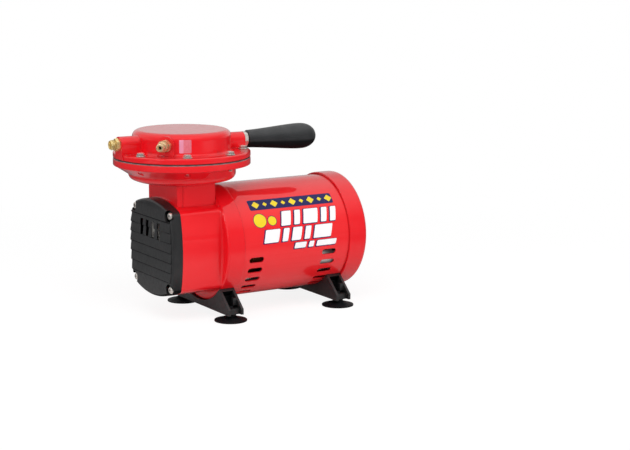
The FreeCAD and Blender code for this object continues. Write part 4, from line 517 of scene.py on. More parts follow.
# %% [markdown]
# ## The two soft pieces
#
# The rubber sheet is clamped at its rim, while its middle is clamped to the rod's plates and goes
# up and down. It is cut in two just outside the plates, so that each part rides with what
# holds it. The relief valve's spring, which the poppet squeezes towards the cap as it lifts,
# only gets a mesh of its own here.

# %% Sheet and spring
MIDDLE_RADIUS = 41.5 * MM
CUTTER_HEIGHT = 40 * MM


def evaluated_mesh(item):
    """The plain mesh that an object's modifiers leave."""
    state = bpy.context.evaluated_depsgraph_get()
    return bpy.data.meshes.new_from_object(item.evaluated_get(state), depsgraph=state)


def carved(blank_mesh, cutter_mesh, operation="DIFFERENCE", cutter_crosses_itself=False):
    """A mesh after a Boolean with another one."""
    blank = new_object("blank", blank_mesh)
    cutter = new_object("cutter", cutter_mesh)
    cut = blank.modifiers.new("cut", "BOOLEAN")
    cut.operation = operation
    cut.object = cutter
    cut.use_self = cutter_crosses_itself
    result = evaluated_mesh(blank)
    for made in (blank, cutter):
        bpy.data.objects.remove(made)
    shade_smooth(result)
    return result


def part_of_sheet(name, body, operation):
    """The sheet's middle or its outer ring, cut along a cylinder around the head's axis."""
    work = bmesh.new()
    bmesh.ops.create_cone(work, cap_ends=True, segments=128, radius1=MIDDLE_RADIUS,
                          radius2=MIDDLE_RADIUS, depth=CUTTER_HEIGHT,
                          matrix=Matrix.Translation(head_axis))
    mesh = carved(welded("diaphragm"), mesh_of(work, name + "_cutter"), operation)
    print(f"{name}: {len(mesh.polygons)} faces")
    slot = node_slot["diaphragm"]
    attach(new_piece(name, mesh, slot), body, slot, "diaphragm")


part_of_sheet("diaphragm_middle", "conrod", "INTERSECT")
part_of_sheet("diaphragm_skin", "housing", "DIFFERENCE")

spring = dressed["relief_spring"]
lift = next(row for row in frame["record"]["behaviour"]["joints"] if row["name"] == "relief_lift")
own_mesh(spring)

# %% [markdown]
# ## Growing repeated things with Geometry Nodes
#
# Eight flange screws, four cover screws and the turns of a thread are the same shape again and
# again. The shape is made once. A small Geometry Nodes tree sets it out, and its inputs have
# names, so that the seed of the screws' random turns or the pitch of a thread can be changed
# later. Each tree ends in *Realize Instances* and *Set Material*, and its result is kept as one
# plain mesh.


# %% Helpers for turned and grown shapes
class Growth:
    """A Geometry Nodes tree while it is being built."""

    def __init__(self, name, **inputs):
        self.tree = bpy.data.node_groups.new(name, "GeometryNodeTree")
        sockets = self.tree.interface
        sockets.new_socket("Geometry", in_out="INPUT", socket_type="NodeSocketGeometry")
        for label, kind in {**inputs, "Material": "Material"}.items():
            sockets.new_socket(label, in_out="INPUT", socket_type="NodeSocket" + kind)
        sockets.new_socket("Geometry", in_out="OUTPUT", socket_type="NodeSocketGeometry")
        self.inputs = self.tree.nodes.new("NodeGroupInput").outputs

    def add(self, kind, settings=None, **inputs):
        """Adds a node to the tree."""
        return add_node(self.tree, kind, settings, **inputs)

    def maths(self, operation, first, second=0.0):
        """One sum, product or comparison of two values."""
        return add_math(self.tree, operation, first, second)

    def close(self, geometry):
        """Ends the tree."""
        solid = self.add("GeometryNodeRealizeInstances", Geometry=geometry)
        painted = self.add("GeometryNodeSetMaterial", Geometry=solid.outputs["Geometry"],
                           Material=self.inputs["Material"])
        end = self.tree.nodes.new("NodeGroupOutput")
        self.tree.links.new(painted.outputs["Geometry"], end.inputs["Geometry"])
        print(f"tree {self.tree.name}: {len(self.tree.nodes)} nodes")


def grown(growth, start, slot, **values):
    """The plain mesh that a tree makes of a starting mesh."""
    carrier = new_object("carrier", start)
    modifier = carrier.modifiers.new("growth", "NODES")
    modifier.node_group = growth.tree
    values["Material"] = finishes[slot]
    for socket in growth.tree.interface.items_tree:
        if socket.in_out == "INPUT" and socket.name in values:
            modifier[socket.identifier] = values[socket.name]
    mesh = evaluated_mesh(carrier)
    carrier.modifiers.remove(modifier)
    bpy.data.objects.remove(carrier)
    return mesh


def hexagon_reach(half_flat, angle):
    """How far a hexagon's side lies from its middle at an angle."""
    return half_flat / math.cos((angle + math.pi / 6) % (math.pi / 3) - math.pi / 6)


def turned(name, profile, steps=96, closed=False):
    """Lathes rings of (height, radius, half width across flats or 0) in mm about +Z."""
    work = bmesh.new()
    rings = []
    for height, radius, half_flat in profile:
        if radius == 0:
            rings.append([work.verts.new((0, 0, height * MM))] * steps)
            continue
        ring = []
        for step in range(steps):
            angle = 2 * math.pi * step / steps
            reach = min(radius, hexagon_reach(half_flat, angle)) if half_flat else radius
            ring.append(work.verts.new((reach * math.cos(angle) * MM, reach * math.sin(angle) * MM,
                                        height * MM)))
        rings.append(ring)
    pairs = list(zip(rings, rings[1:])) + ([(rings[-1], rings[0])] if closed else [])
    for lower, upper in pairs:
        for step in range(steps):
            after = (step + 1) % steps
            loop = list(dict.fromkeys([lower[step], lower[after], upper[after], upper[step]]))
            if len(loop) > 2:
                work.faces.new(loop)
    bmesh.ops.remove_doubles(work, verts=work.verts, dist=0.0005 * MM)
    bmesh.ops.recalc_face_normals(work, faces=work.faces)
    mesh = mesh_of(work, name)
    shade_smooth(mesh)
    return mesh


def laid_along(mesh, direction, place=(0, 0, 0)):
    """Turns a mesh from +Z to a direction and moves it."""
    turn = Vector((0, 0, 1)).rotation_difference(Vector(direction)).to_matrix().to_4x4()
    mesh.transform(Matrix.Translation(place) @ turn)
    return mesh


def joined(name, *meshes):
    """One mesh out of several."""
    work = bmesh.new()
    for mesh in meshes:
        work.from_mesh(mesh)
    whole = mesh_of(work, name)
    shade_smooth(whole)
    return whole


def points(places):
    """A mesh of loose points."""
    mesh = bpy.data.meshes.new("places")
    mesh.from_pydata([tuple(place) for place in places], [], [])
    return mesh


# %% The tree that sets out screws
screw_rows = Growth("screw_rows", Screw="Object", Turn_axis="Vector", Seed="Int")
loose_turn = screw_rows.add("FunctionNodeRandomValue", {"data_type": "FLOAT"},
                            Seed=screw_rows.inputs["Seed"])
# Several of this node's sockets share a name. Number 3 is the largest decimal value.
loose_turn.inputs[3].default_value = 2 * math.pi
turn = screw_rows.add("ShaderNodeVectorMath", {"operation": "SCALE"},
                      Vector=screw_rows.inputs["Turn_axis"], Scale=loose_turn.outputs[1])
template = screw_rows.add("GeometryNodeObjectInfo", Object=screw_rows.inputs["Screw"])
set_out = screw_rows.add("GeometryNodeInstanceOnPoints", Points=screw_rows.inputs["Geometry"],
                         Instance=template.outputs["Geometry"], Rotation=turn.outputs["Vector"])
screw_rows.close(set_out.outputs["Instances"])


def screw_row(node, screw_mesh, places, axis, seed):
    """One screw at every place, each turned by chance, standing for a frame node."""
    template_object = new_object(node + "_template", screw_mesh)
    slot = node_slot[node]
    mesh = grown(screw_rows, points(places), slot, Screw=template_object, Turn_axis=axis, Seed=seed)
    bpy.data.objects.remove(template_object)
    shade_smooth(mesh)
    print(f"{node}: {len(places)} screws, {len(mesh.polygons)} faces")
    attach(new_piece(node + "_fine", mesh, slot), "housing", slot, node)


# %% The tree that winds a thread
threads = Growth("threads", Radius="Float", Pitch="Float", Length="Float", Depth="Float")
turns = threads.maths("DIVIDE", threads.inputs["Length"], threads.inputs["Pitch"])
helix = threads.add("GeometryNodeCurveSpiral", Resolution=40, Rotations=turns,
                    Start_Radius=threads.inputs["Radius"], End_Radius=threads.inputs["Radius"],
                    Height=threads.inputs["Length"])
upright = threads.add("GeometryNodeSetCurveNormal", {"mode": "Z_UP"}, Curve=helix.outputs["Curve"])
ridge = threads.add("GeometryNodeCurvePrimitiveCircle", {"mode": "RADIUS"}, Resolution=4,
                    Radius=threads.inputs["Depth"])
swept = threads.add("GeometryNodeCurveToMesh", Curve=upright.outputs["Curve"],
                    Profile_Curve=ridge.outputs["Curve"], Fill_Caps=True)
threads.close(swept.outputs["Mesh"])


def thread(slot, radius, pitch, start, end):
    """A screw thread's ridge about +Z between two heights; all in mm."""
    depth = pitch * 0.45
    mesh = grown(threads, points([(0, 0, 0)]), slot, Radius=(radius - depth) * MM, Pitch=pitch * MM,
                 Length=(end - start) * MM, Depth=depth * MM)
    mesh.transform(Matrix.Translation((0, 0, start * MM)))
    return mesh


# %% [markdown]
# ## Screws
#
# A hexagon is cut from a turned blank on a real machine: the lathe rounds the top of the bar,
# and the six flats cut into it, which leaves the curved edge of every hexagon head. The helper
# above does the same. A ring of the profile is a circle, and where it names a width across flats
# it stops at the flat if that comes first. The cover's screws have a cross recess, cut with a
# *Boolean* by two tapered bars.

# %% Flange screws, tie bolts and cover screws
UPPER_FLANGE = 6.6 * MM
flange_top = seam_top + UPPER_FLANGE
flange_boxes = islands("flange_screws")
tip_drop = (flange_boxes[0][0].z - flange_top) / MM
head_top = (flange_boxes[0][1].z - flange_top) / MM
WASHER_R = 5.65
WASHER_T = 1.15
HEAD_HALF_FLAT = 3.9
flange_profile = [(tip_drop, 0, 0), (tip_drop, 1.7, 0), (tip_drop + 0.5, 2.1, 0), (-1.0, 2.1, 0),
                  (-1.0, 2.4, 0), (0, 2.4, 0), (0, WASHER_R - 0.1, 0), (0.15, WASHER_R, 0),
                  (WASHER_T - 0.2, WASHER_R, 0), (WASHER_T, WASHER_R - 0.25, 0),
                  (WASHER_T, 4.7, HEAD_HALF_FLAT), (head_top - 0.55, 4.7, HEAD_HALF_FLAT),
                  (head_top - 0.35, 4.4, HEAD_HALF_FLAT), (head_top - 0.12, 4.0, HEAD_HALF_FLAT),
                  (head_top, 3.5, 0), (head_top, 2.4, 0), (head_top - 0.3, 1.9, 0),
                  (head_top - 0.35, 0, 0)]
flange_screw = joined("flange_screw", turned("blank", flange_profile),
                      thread("zinc_steel", 2.5, 0.8, tip_drop + 0.5, tip_drop + 5.0))
screw_row("flange_screws", flange_screw,
          [((low.x + high.x) / 2, (low.y + high.y) / 2, flange_top) for low, high in flange_boxes],
          (0, 0, 1), seed=4)

BOLT_SEAT_DEPTH = 2.0 * MM
bolt_boxes = islands("tie_bolts")
cap_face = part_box("rear_cap")[1].x - BOLT_SEAT_DEPTH
bolt_reach = (bolt_boxes[0][0].x - cap_face) / MM
bolt_top = (bolt_boxes[0][1].x - cap_face) / MM
bolt_profile = [(bolt_reach, 0, 0), (bolt_reach, 2.0, 0), (bolt_reach + 0.6, 2.5, 0), (0, 2.5, 0),
                (0, 4.55, 4.0), (bolt_top - 0.8, 4.6, 4.0), (bolt_top - 0.45, 4.45, 4.0),
                (bolt_top - 0.15, 4.15, 4.0), (bolt_top, 3.7, 0), (bolt_top, 2.4, 0),
                (bolt_top - 0.3, 2.0, 0), (bolt_top - 0.35, 0, 0)]
screw_row("tie_bolts", laid_along(turned("tie_bolt", bolt_profile), (1, 0, 0)),
          [(cap_face, (low.y + high.y) / 2, (low.z + high.z) / 2) for low, high in bolt_boxes],
          (1, 0, 0), seed=9)


def cross_recess(mesh, top, reach, width, depth):
    """Cuts a tapered cross into the top of a screw; all in mm."""
    work = bmesh.new()
    for turn_by in (0, math.pi / 2):
        bar = bmesh.ops.create_cube(work, size=1.0)["verts"]
        for vertex in bar:
            deep = vertex.co.z < 0
            vertex.co.x *= 2 * reach * (0.35 if deep else 1.0) * MM
            vertex.co.y *= width * (0.7 if deep else 1.0) * MM
            vertex.co.z = (top - depth if deep else top + 0.3) * MM
        bmesh.ops.rotate(work, verts=bar, matrix=Matrix.Rotation(turn_by, 3, "Z"))
    return carved(mesh, mesh_of(work, "cross"), cutter_crosses_itself=True)


COVER_HEAD_HEIGHT = 3.2 * MM
cover_boxes = islands("cover_screws")
seat = cover_boxes[0][0].x + COVER_HEAD_HEIGHT
cover_reach = (seat - cover_boxes[0][1].x) / MM
HEAD_R = 4.2
dome = [(0, HEAD_R - 0.1, 0), (0.2, HEAD_R, 0), (1.3, HEAD_R, 0)]
for degrees in (18, 36, 54, 72, 90):
    bend = math.radians(degrees)
    dome.append((1.3 + 1.85 * math.sin(bend), HEAD_R - 1.6 * (1 - math.cos(bend)), 0))
cover_shank = [(cover_reach, 0, 0), (cover_reach, 1.5, 0), (cover_reach + 0.5, 2.0, 0), (0, 2.0, 0)]
cover_profile = cover_shank + dome + [(3.18, 0, 0)]
cover_screw = cross_recess(turned("cover_screw", cover_profile), 3.15, 2.5, 1.05, 1.9)
screw_row("cover_screws", laid_along(cover_screw, (-1, 0, 0)),
          [(seat, (low.y + high.y) / 2, (low.z + high.z) / 2) for low, high in cover_boxes],
          (1, 0, 0), seed=2)

# %% [markdown]
# ## Brass fittings and the handle's nut
#
# The air outlet is turned from hexagon bar: a hexagon for the spanner, a narrow neck and a
# threaded end with a conical seat inside. The relief valve beside it has a knurled collar that
# sets its spring and a slim nose that lets the air out. Their profiles run through the bore as
# well, so that the hole in the end is a real one.


# %% Outlet, relief valve and handle nut
HEX = 6.6                # half the width across flats of both fittings, in mm


def fine_part(node, mesh, direction, place, finish=None):
    """A hand-made mesh in place of one frame node of the housing."""
    laid_along(mesh, direction, place)
    piece = new_piece(node + "_fine", mesh, finish or node_slot[node])
    attach(piece, "housing", node_slot[node], node)
    print(f"{node}: {len(mesh.polygons)} faces")


def spanner_hexagon(start, end):
    """Profile rings of a hexagon with rounded ends between two heights."""
    return [(start, 7.1, HEX), (start + 0.3, 7.4, HEX), (start + 0.6, 7.62, HEX),
            (end - 0.6, 7.62, HEX), (end - 0.3, 7.4, HEX), (end, 7.0, HEX)]


outlet_low, outlet_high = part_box("outlet_fitting")
outlet_length = (outlet_high.x - outlet_low.x) / MM
SHANK = 10.7
NECK = 4.7
BORE = 3.5
tip = outlet_length - SHANK
outlet_profile = [(-SHANK, BORE, 0), (-SHANK, 5.0, 0), (-SHANK + 0.6, 5.4, 0), (0, 5.4, 0),
                  *spanner_hexagon(0, NECK), (NECK, 5.0, 0), (NECK + 1.0, 5.0, 0),
                  (NECK + 1.5, 5.45, 0), (tip - 0.9, 5.45, 0), (tip - 0.15, 5.1, 0),
                  (tip, 4.95, 0), (tip, 4.75, 0), (tip - 3.4, BORE, 0)]
outlet_thread = thread("brass", 6.0, 1.25, NECK + 1.9, tip - 1.1)
outlet_mesh = joined("outlet", turned("outlet_body", outlet_profile, closed=True), outlet_thread)
outlet_mesh.transform(Matrix.Rotation(math.pi / 6, 4, "Z"))
fine_part("outlet_fitting", outlet_mesh, (-1, 0, 0),
          (outlet_low.x + tip * MM, centre_of("outlet_fitting").y, centre_of("outlet_fitting").z))

relief_middle = centre_of("relief_valve_body") - head_axis
relief_way = Vector((relief_middle.x, relief_middle.y, 0)).normalized()
relief_height = centre_of("relief_valve_body").z
relief_start = Vector((head_axis.x, head_axis.y, relief_height))
PAD = 61.0
HEX_END = PAD + 8.0
body_profile = [(PAD - 11.5, 1.6, 0), (PAD - 11.5, 4.7, 0), (PAD - 11.0, 5.0, 0), (PAD, 5.0, 0),
                *spanner_hexagon(PAD, HEX_END), (HEX_END, 4.6, 0), (HEX_END + 5.0, 4.6, 0),
                (HEX_END + 5.0, 3.2, 0), (PAD + 1.0, 3.2, 0), (PAD + 1.0, 1.6, 0)]
fine_part("relief_valve_body", turned("relief_body", body_profile, closed=True), relief_way,
          relief_start, "relief_bronze")

COLLAR_R = 6.1
COLLAR_END = HEX_END + 7.6
NOSE_END = COLLAR_END + 6.7


def knurled(mesh, ribs, depth, low, high):
    """Presses fine ribs into the round surface between two heights; all in mm."""
    for vertex in mesh.vertices:
        reach = math.hypot(vertex.co.x, vertex.co.y)
        if low * MM < vertex.co.z < high * MM and reach > (COLLAR_R - 0.2) * MM:
            swing = 0.5 - 0.5 * math.cos(ribs * math.atan2(vertex.co.y, vertex.co.x))
            shrink = 1 - depth * MM * swing / reach
            vertex.co.x *= shrink
            vertex.co.y *= shrink
    return mesh


cap_profile = [(HEX_END + 0.3, 4.7, 0), (HEX_END + 0.3, 5.7, 0), (HEX_END + 0.7, COLLAR_R, 0),
               (HEX_END + 1.2, COLLAR_R, 0), (COLLAR_END - 2.4, COLLAR_R, 0),
               (COLLAR_END - 1.9, COLLAR_R, 0), (COLLAR_END - 1.4, 5.95, 0),
               (COLLAR_END - 0.3, 4.95, 0), (COLLAR_END - 0.3, 4.5, 0),
               (NOSE_END - 0.9, 4.5, 0), (NOSE_END - 0.4, 4.35, 0), (NOSE_END - 0.1, 4.0, 0),
               (NOSE_END, 3.6, 0), (NOSE_END, 2.7, 0), (NOSE_END - 1.6, 1.6, 0),
               (NOSE_END - 3.3, 1.6, 0), (NOSE_END - 3.3, 3.2, 0), (HEX_END + 5.5, 3.2, 0),
               (HEX_END + 5.5, 4.7, 0)]
cap_mesh = turned("relief_cap", cap_profile, steps=192, closed=True)
knurled(cap_mesh, 32, 0.32, HEX_END + 1.0, COLLAR_END - 2.2)
fine_part("relief_valve_cap", cap_mesh, relief_way, relief_start, "relief_bronze")

nut_middle = centre_of("handle_nut")
grip_middle = centre_of("handle_grip")
nut_way = Vector((grip_middle.x - nut_middle.x, grip_middle.y - nut_middle.y, 0)).normalized()
NUT_FLAT = 8.5
NUT_END = 2.6
nut_profile = [(-NUT_END, 4.1, 0), (-NUT_END, 9.2, NUT_FLAT), (-NUT_END + 0.4, 9.7, NUT_FLAT),
               (NUT_END - 1.4, 9.8, NUT_FLAT), (NUT_END - 0.8, 9.6, NUT_FLAT),
               (NUT_END - 0.2, 9.0, NUT_FLAT), (NUT_END, 8.6, NUT_FLAT), (NUT_END, 4.1, 0)]
nut_mesh = turned("handle_nut", nut_profile, closed=True)
fine_part("handle_nut", nut_mesh, nut_way, nut_middle)

# %% [markdown]
# ## Windings
#
# Behind the slots of the tube lie the ends of the motor's windings. Each end is a bundle of
# varnished wires that run round the stator. The tree places one circle for every wire on the
# outside of the bundle, shakes it a little, since no winding lies perfectly parallel, and gives
# it the wire's thickness.

# %% Wires round the stator
windings = Growth("winding_wires", Wire_radius="Float", Shake="Float", Ripple="Float")
ring_size = windings.add("GeometryNodeInputNamedAttribute", {"data_type": "FLOAT"},
                         Name="ring_radius")
flat_ring = windings.add("GeometryNodeCurvePrimitiveCircle", {"mode": "RADIUS"}, Resolution=96,
                         Radius=1.0)
rings = windings.add("GeometryNodeInstanceOnPoints", Points=windings.inputs["Geometry"],
                     Instance=flat_ring.outputs["Curve"], Rotation=(0, math.pi / 2, 0),
                     Scale=ring_size.outputs["Attribute"])
loops = windings.add("GeometryNodeRealizeInstances", Geometry=rings.outputs["Instances"])
waves = windings.add("ShaderNodeTexNoise", Scale=windings.inputs["Ripple"], Detail=2.0)
centred = windings.add("ShaderNodeVectorMath", {"operation": "SUBTRACT"})
feed(windings.tree, centred.inputs[0], waves.outputs["Color"])
feed(windings.tree, centred.inputs[1], (0.5, 0.5, 0.5))
shaken = windings.add("ShaderNodeVectorMath", {"operation": "SCALE"}, Vector=centred.outputs[0],
                      Scale=windings.inputs["Shake"])
bent = windings.add("GeometryNodeSetPosition", Geometry=loops.outputs["Geometry"],
                    Offset=shaken.outputs["Vector"])
wire = windings.add("GeometryNodeCurvePrimitiveCircle", {"mode": "RADIUS"}, Resolution=6,
                    Radius=windings.inputs["Wire_radius"])
copper = windings.add("GeometryNodeCurveToMesh", Curve=bent.outputs["Geometry"],
                      Profile_Curve=wire.outputs["Curve"])
windings.close(copper.outputs["Mesh"])

WIRE_R = 0.75 * MM
INNER_R = 38.5 * MM
SHAKE = 1.6 * MM
MARGIN = WIRE_R + 0.9 * MM
wire_places = []
ring_radii = []
for low, high in islands("windings"):
    depth = (high.y - low.y) / 2 - INNER_R - 2 * MARGIN
    width = high.x - low.x - 2 * MARGIN
    rows = int(depth / (2 * WIRE_R)) + 1
    columns = int(width / (2 * WIRE_R)) + 1
    for row in range(rows):
        for column in range(columns):
            # Only the outer wires of a bundle can be seen, and its corners are round.
            if (row in (0, rows - 1)) != (column in (0, columns - 1)):
                wire_places.append((low.x + MARGIN + column * width / (columns - 1),
                                    motor_axis.y, motor_axis.z))
                ring_radii.append(INNER_R + MARGIN + row * depth / (rows - 1))
wire_mesh = points(wire_places)
radius_values = wire_mesh.attributes.new("ring_radius", "FLOAT", "POINT")
radius_values.data.foreach_set("value", ring_radii)
coil_mesh = grown(windings, wire_mesh, "copper_winding", Wire_radius=WIRE_R, Shake=SHAKE,
                  Ripple=90.0)
shade_smooth(coil_mesh, math.radians(70))
attach(new_piece("windings_wires", coil_mesh, "copper_winding"), "housing", "copper_winding",
       "windings")
print("winding wires:", len(wire_places), "faces:", len(coil_mesh.polygons))

# %% [markdown]
# ## A printed pattern on the tube
#
# The side of the tube carries a printed pattern of plain shapes: a navy band with a row of
# yellow lozenges, and leaning white bars with a navy shadow and yellow discs between them. The
# shapes are drawn flat, as if the tube were unrolled. They are sliced into narrow strips, and a
# Geometry Nodes tree rolls the sheet onto the tube: the height on the sheet becomes an angle.


# %% Flat shapes
def rounded_outline(corners, radius, steps=6):
    """The corners of a flat shape, each replaced by a small curve; in mm."""
    outline = []
    count = len(corners)
    for index, corner in enumerate(corners):
        here = np.array(corner)
        ends = []
        for other in (corners[index - 1], corners[(index + 1) % count]):
            way = np.array(other) - here
            ends.append(here + way * min(0.49, radius / np.linalg.norm(way)))
        for step in range(steps + 1):
            t = step / steps
            outline.append(tuple((1 - t) ** 2 * ends[0] + 2 * t * (1 - t) * here
                                 + t ** 2 * ends[1]))
    return outline


def leaning_bar(left, low, width, height, grow=0.0):
    """A bar that leans to the right, optionally larger all round."""
    shift = 0.26 * height
    corners = [(left - grow, low - grow), (left + width + grow, low - grow),
               (left + width + shift + grow, low + height + grow),
               (left + shift - grow, low + height + grow)]
    return rounded_outline(corners, 1.6)


def lozenge(middle, height, half_width, half_height):
    """A four-cornered diamond."""
    corners = [(middle - half_width, height), (middle, height - half_height),
               (middle + half_width, height), (middle, height + half_height)]
    return rounded_outline(corners, 0.7, steps=3)


def disc(middle, height, radius):
    """A round spot."""
    turns_round = [math.radians(degrees) for degrees in range(0, 360, 10)]
    return [(middle + radius * math.cos(turn), height + radius * math.sin(turn))
            for turn in turns_round]


def sliced(work, place, across):
    """Cuts everything along one plane and keeps both halves."""
    everything = work.verts[:] + work.edges[:] + work.faces[:]
    bmesh.ops.bisect_plane(work, geom=everything, plane_co=place, plane_no=across)


def flat_sheet(outlines, strip=1.5, columns=()):
    """Fills the outlines and slices them into strips, and at the named columns; in mm."""
    work = bmesh.new()
    for outline in outlines:
        work.faces.new([work.verts.new((x * MM, height * MM, 0)) for x, height in outline])
    heights = [height for outline in outlines for _, height in outline]
    level = min(heights) + strip
    while level < max(heights):
        sliced(work, (0, level * MM, 0), (0, 1, 0))
        level += strip
    for column in columns:
        sliced(work, (column * MM, 0, 0), (1, 0, 0))
    return mesh_of(work, "sheet")


# %% The tree that rolls a sheet onto the tube
rolling = Growth("roll_onto_tube", Radius="Float", Axis_height="Float")
on_sheet = rolling.add("GeometryNodeInputPosition").outputs["Position"]
where = rolling.add("ShaderNodeSeparateXYZ", Vector=on_sheet)
bend_angle = rolling.maths("DIVIDE", where.outputs["Y"], rolling.inputs["Radius"])
sideways = rolling.maths("MULTIPLY", rolling.maths("COSINE", bend_angle), rolling.inputs["Radius"])
upwards = rolling.maths("MULTIPLY", rolling.maths("SINE", bend_angle), rolling.inputs["Radius"])
rolled_place = rolling.add("ShaderNodeCombineXYZ", X=where.outputs["X"],
                           Y=rolling.maths("MULTIPLY", sideways, -1.0),
                           Z=rolling.maths("ADD", upwards, rolling.inputs["Axis_height"]))
rolled = rolling.add("GeometryNodeSetPosition", Geometry=rolling.inputs["Geometry"],
                     Position=rolled_place.outputs["Vector"])
rolling.close(rolled.outputs["Geometry"])


# %% Ink colours and the pattern itself
def ink(name, colour, coat):
    """Printed film: glossy like the enamel, with a trace of the print's grain."""
    finish = Finish(name, colour, 0.32, coat=coat, specular=0.15)
    cloud = finish.patches(60.0, 4.0, 0.0, 0.6, edges=(0.35, 0.75))
    finish.paint(finish.blend(cloud, colour, tuple(c * 0.88 + 0.004 for c in colour)))
    finish.roughen(finish.patches(300.0, 5.0, 0.27, 0.40))
    finish.relief(finish.noise(170.0, 1.0), 0.012 * MM)
    finish.relief(finish.noise(2200.0, 2.0), 0.002 * MM)
    keep(name, finish)


ink("ink_navy", (0.010, 0.011, 0.088), coat=0.35)
ink("ink_white", (0.93, 0.92, 0.93), coat=0.8)
ink("ink_yellow", (0.86, 0.66, 0.015), coat=0.8)

# All in mm; lengths run from the tube's front end.
BAND_LEFT, BAND_RIGHT = 15.5, 133
BAND_LOW, BAND_HIGH = 45.5, 60.1
LOZENGES = 9
LOZENGE_START, LOZENGE_STEP = 25.0, 12.8
# Each row of bars: its foot, the bars' height, and every bar's left side and width.
BAR_ROWS = [(23.0, 18.0, [(52, 13), (70, 8), (83, 20), (108, 8), (121, 8)]),
            (4.2, 15.6, [(26, 20), (51, 8), (64, 13), (82, 8), (95, 25)]),
            (-6.0, 7.0, [(68, 16), (88, 7), (99, 28)])]
# Each disc: its middle along the tube and in height, and its radius.
DISCS = [(24.5, 32.0, 8.4), (41.0, 30.5, 5.6)]
RIM = 0.7

tube_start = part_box("motor_tube")[0].x / MM
band_left = tube_start + BAND_LEFT
band_right = tube_start + BAND_RIGHT
band = rounded_outline([(band_left, BAND_LOW), (band_right, BAND_LOW), (band_right, BAND_HIGH),
                        (band_left, BAND_HIGH)], 2.4)
lozenges = []
for number in range(LOZENGES):
    half_width, half_height = (5.4, 5.0) if number % 2 == 0 else (3.2, 3.0)
    lozenges.append(lozenge(tube_start + LOZENGE_START + LOZENGE_STEP * number,
                            (BAND_LOW + BAND_HIGH) / 2, half_width, half_height))
bars = [(tube_start + left, low, width, height)
        for low, height, row in BAR_ROWS for left, width in row]
shadows = [leaning_bar(left - 0.9, low - 0.3, width, height, grow=0.8)
           for left, low, width, height in bars]
white_bars = [leaning_bar(*bar) for bar in bars]
discs = [disc(tube_start + middle, height, radius) for middle, height, radius in DISCS]
disc_rims = [disc(tube_start + middle, height, radius + RIM) for middle, height, radius in DISCS]
prints = [("print_navy", "ink_navy", [band] + shadows + disc_rims, 0.08),
          ("print_white", "ink_white", white_bars, 0.13),
          ("print_yellow", "ink_yellow", lozenges + discs, 0.13)]
for name, ink_name, outlines, lift in prints:
    sheet = grown(rolling, flat_sheet(outlines), ink_name, Radius=tube_radius + lift * MM,
                  Axis_height=motor_axis.z)
    shade_smooth(sheet)
    attach(new_piece(name, sheet, ink_name), "housing", "red_enamel")
    print(f"{name}: {len(outlines)} shapes, {len(sheet.polygons)} strips")

# %% [markdown]
# ## A blank label on the drum
#
# A rosy paper label with a paler strip at its left end is stuck to the front of the head. It is
# left blank. It is a thin sheet that is bent round the drum, with rounded corners and faint
# fibres in its paper.

# %% Paper label
DRUM_INSET = 22.8 * MM
LABEL_LIFT = 0.1 * MM
LABEL_ANGLE = math.radians(-113.5)
LABEL_LOW = 3.6 * MM
LABEL_HALF = 7.0         # half length and height in mm, like the outlines above
LABEL_HEIGHT = 15.5
drum_radius = flange_radius - DRUM_INSET
label_x = head_axis.x + drum_radius * math.cos(LABEL_ANGLE)

label_paper = Finish("label_paper", (0.76, 0.34, 0.37), 0.55, specular=0.35)
fibres = label_paper.noise(1.0, 5.0, place=label_paper.stretched((900.0, 900.0, 260.0)))
faded = label_paper.to_range(label_paper.part("X"), label_x - 2.6 * MM, label_x - 1.4 * MM,
                             1.0, 0.0)
rosy = label_paper.blend(label_paper.to_range(fibres, 0.35, 0.7, 0.0, 1.0),
                         (0.72, 0.20, 0.25), (0.66, 0.14, 0.19))
label_paper.paint(label_paper.blend(faded, rosy, (0.80, 0.32, 0.46)))
label_paper.roughen(label_paper.patches(500.0, 4.0, 0.45, 0.62))
label_paper.relief(fibres, 0.01 * MM)
keep("label_paper", label_paper)

label_outline = rounded_outline([(-LABEL_HALF, 0), (LABEL_HALF, 0), (LABEL_HALF, LABEL_HEIGHT),
                                 (-LABEL_HALF, LABEL_HEIGHT)], 1.0)
label = flat_sheet([label_outline], strip=4.0, columns=range(-6, 7))
label_reach = drum_radius + LABEL_LIFT
for vertex in label.vertices:
    bend = LABEL_ANGLE + vertex.co.x / label_reach
    vertex.co = (head_axis.x + label_reach * math.cos(bend),
                 head_axis.y + label_reach * math.sin(bend),
                 flange_top + LABEL_LOW + vertex.co.y)
shade_smooth(label)
attach(new_piece("drum_label", label, "label_paper"), "housing", "red_cast")
print("label:", len(label.polygons), "faces")

# %% [markdown]
# ## Floor, light and camera
#
# A white sheet lies on a wide studio floor. The floor shows each kind of ray something else: to
# the camera it glows, so that it reads as white and still keeps the soft shadow under the feet,
# and to a glossy reflection it is darker, as the sheet ends not far from the machine. The sky is
# plain for the light it gives, and mirrors as a room that is bright overhead and behind. Four
# soft boxes light the machine: the key from above and in front, a fill low on the right, one at
# the front end, and a thin strip whose reflection draws a line along the tube.

# %% Floor
FLOOR_HALF = 30.0
SHEET_FADE = (0.24, 0.46)    # where the bright sheet gives way to the darker floor
WHITE_FADE = (0.35, 0.80)    # where the background turns plain white


def shader(tree, kind, colour=(1, 1, 1), **inputs):
    """A surface or a light of one colour."""
    return add_node(tree, kind, Color=(*colour, 1), **inputs)


def mix_shaders(tree, factor, first, second):
    """Shows the first shader where the factor is 0 and the second where it is 1."""
    made = add_node(tree, "ShaderNodeMixShader", Fac=factor)
    tree.links.new(first.outputs[0], made.inputs[1])
    tree.links.new(second.outputs[0], made.inputs[2])
    return made


def close_tree(tree, kind, last):
    """Connects the last shader to the tree's output."""
    end = add_node(tree, kind)
    tree.links.new(last.outputs[0], end.inputs["Surface"])


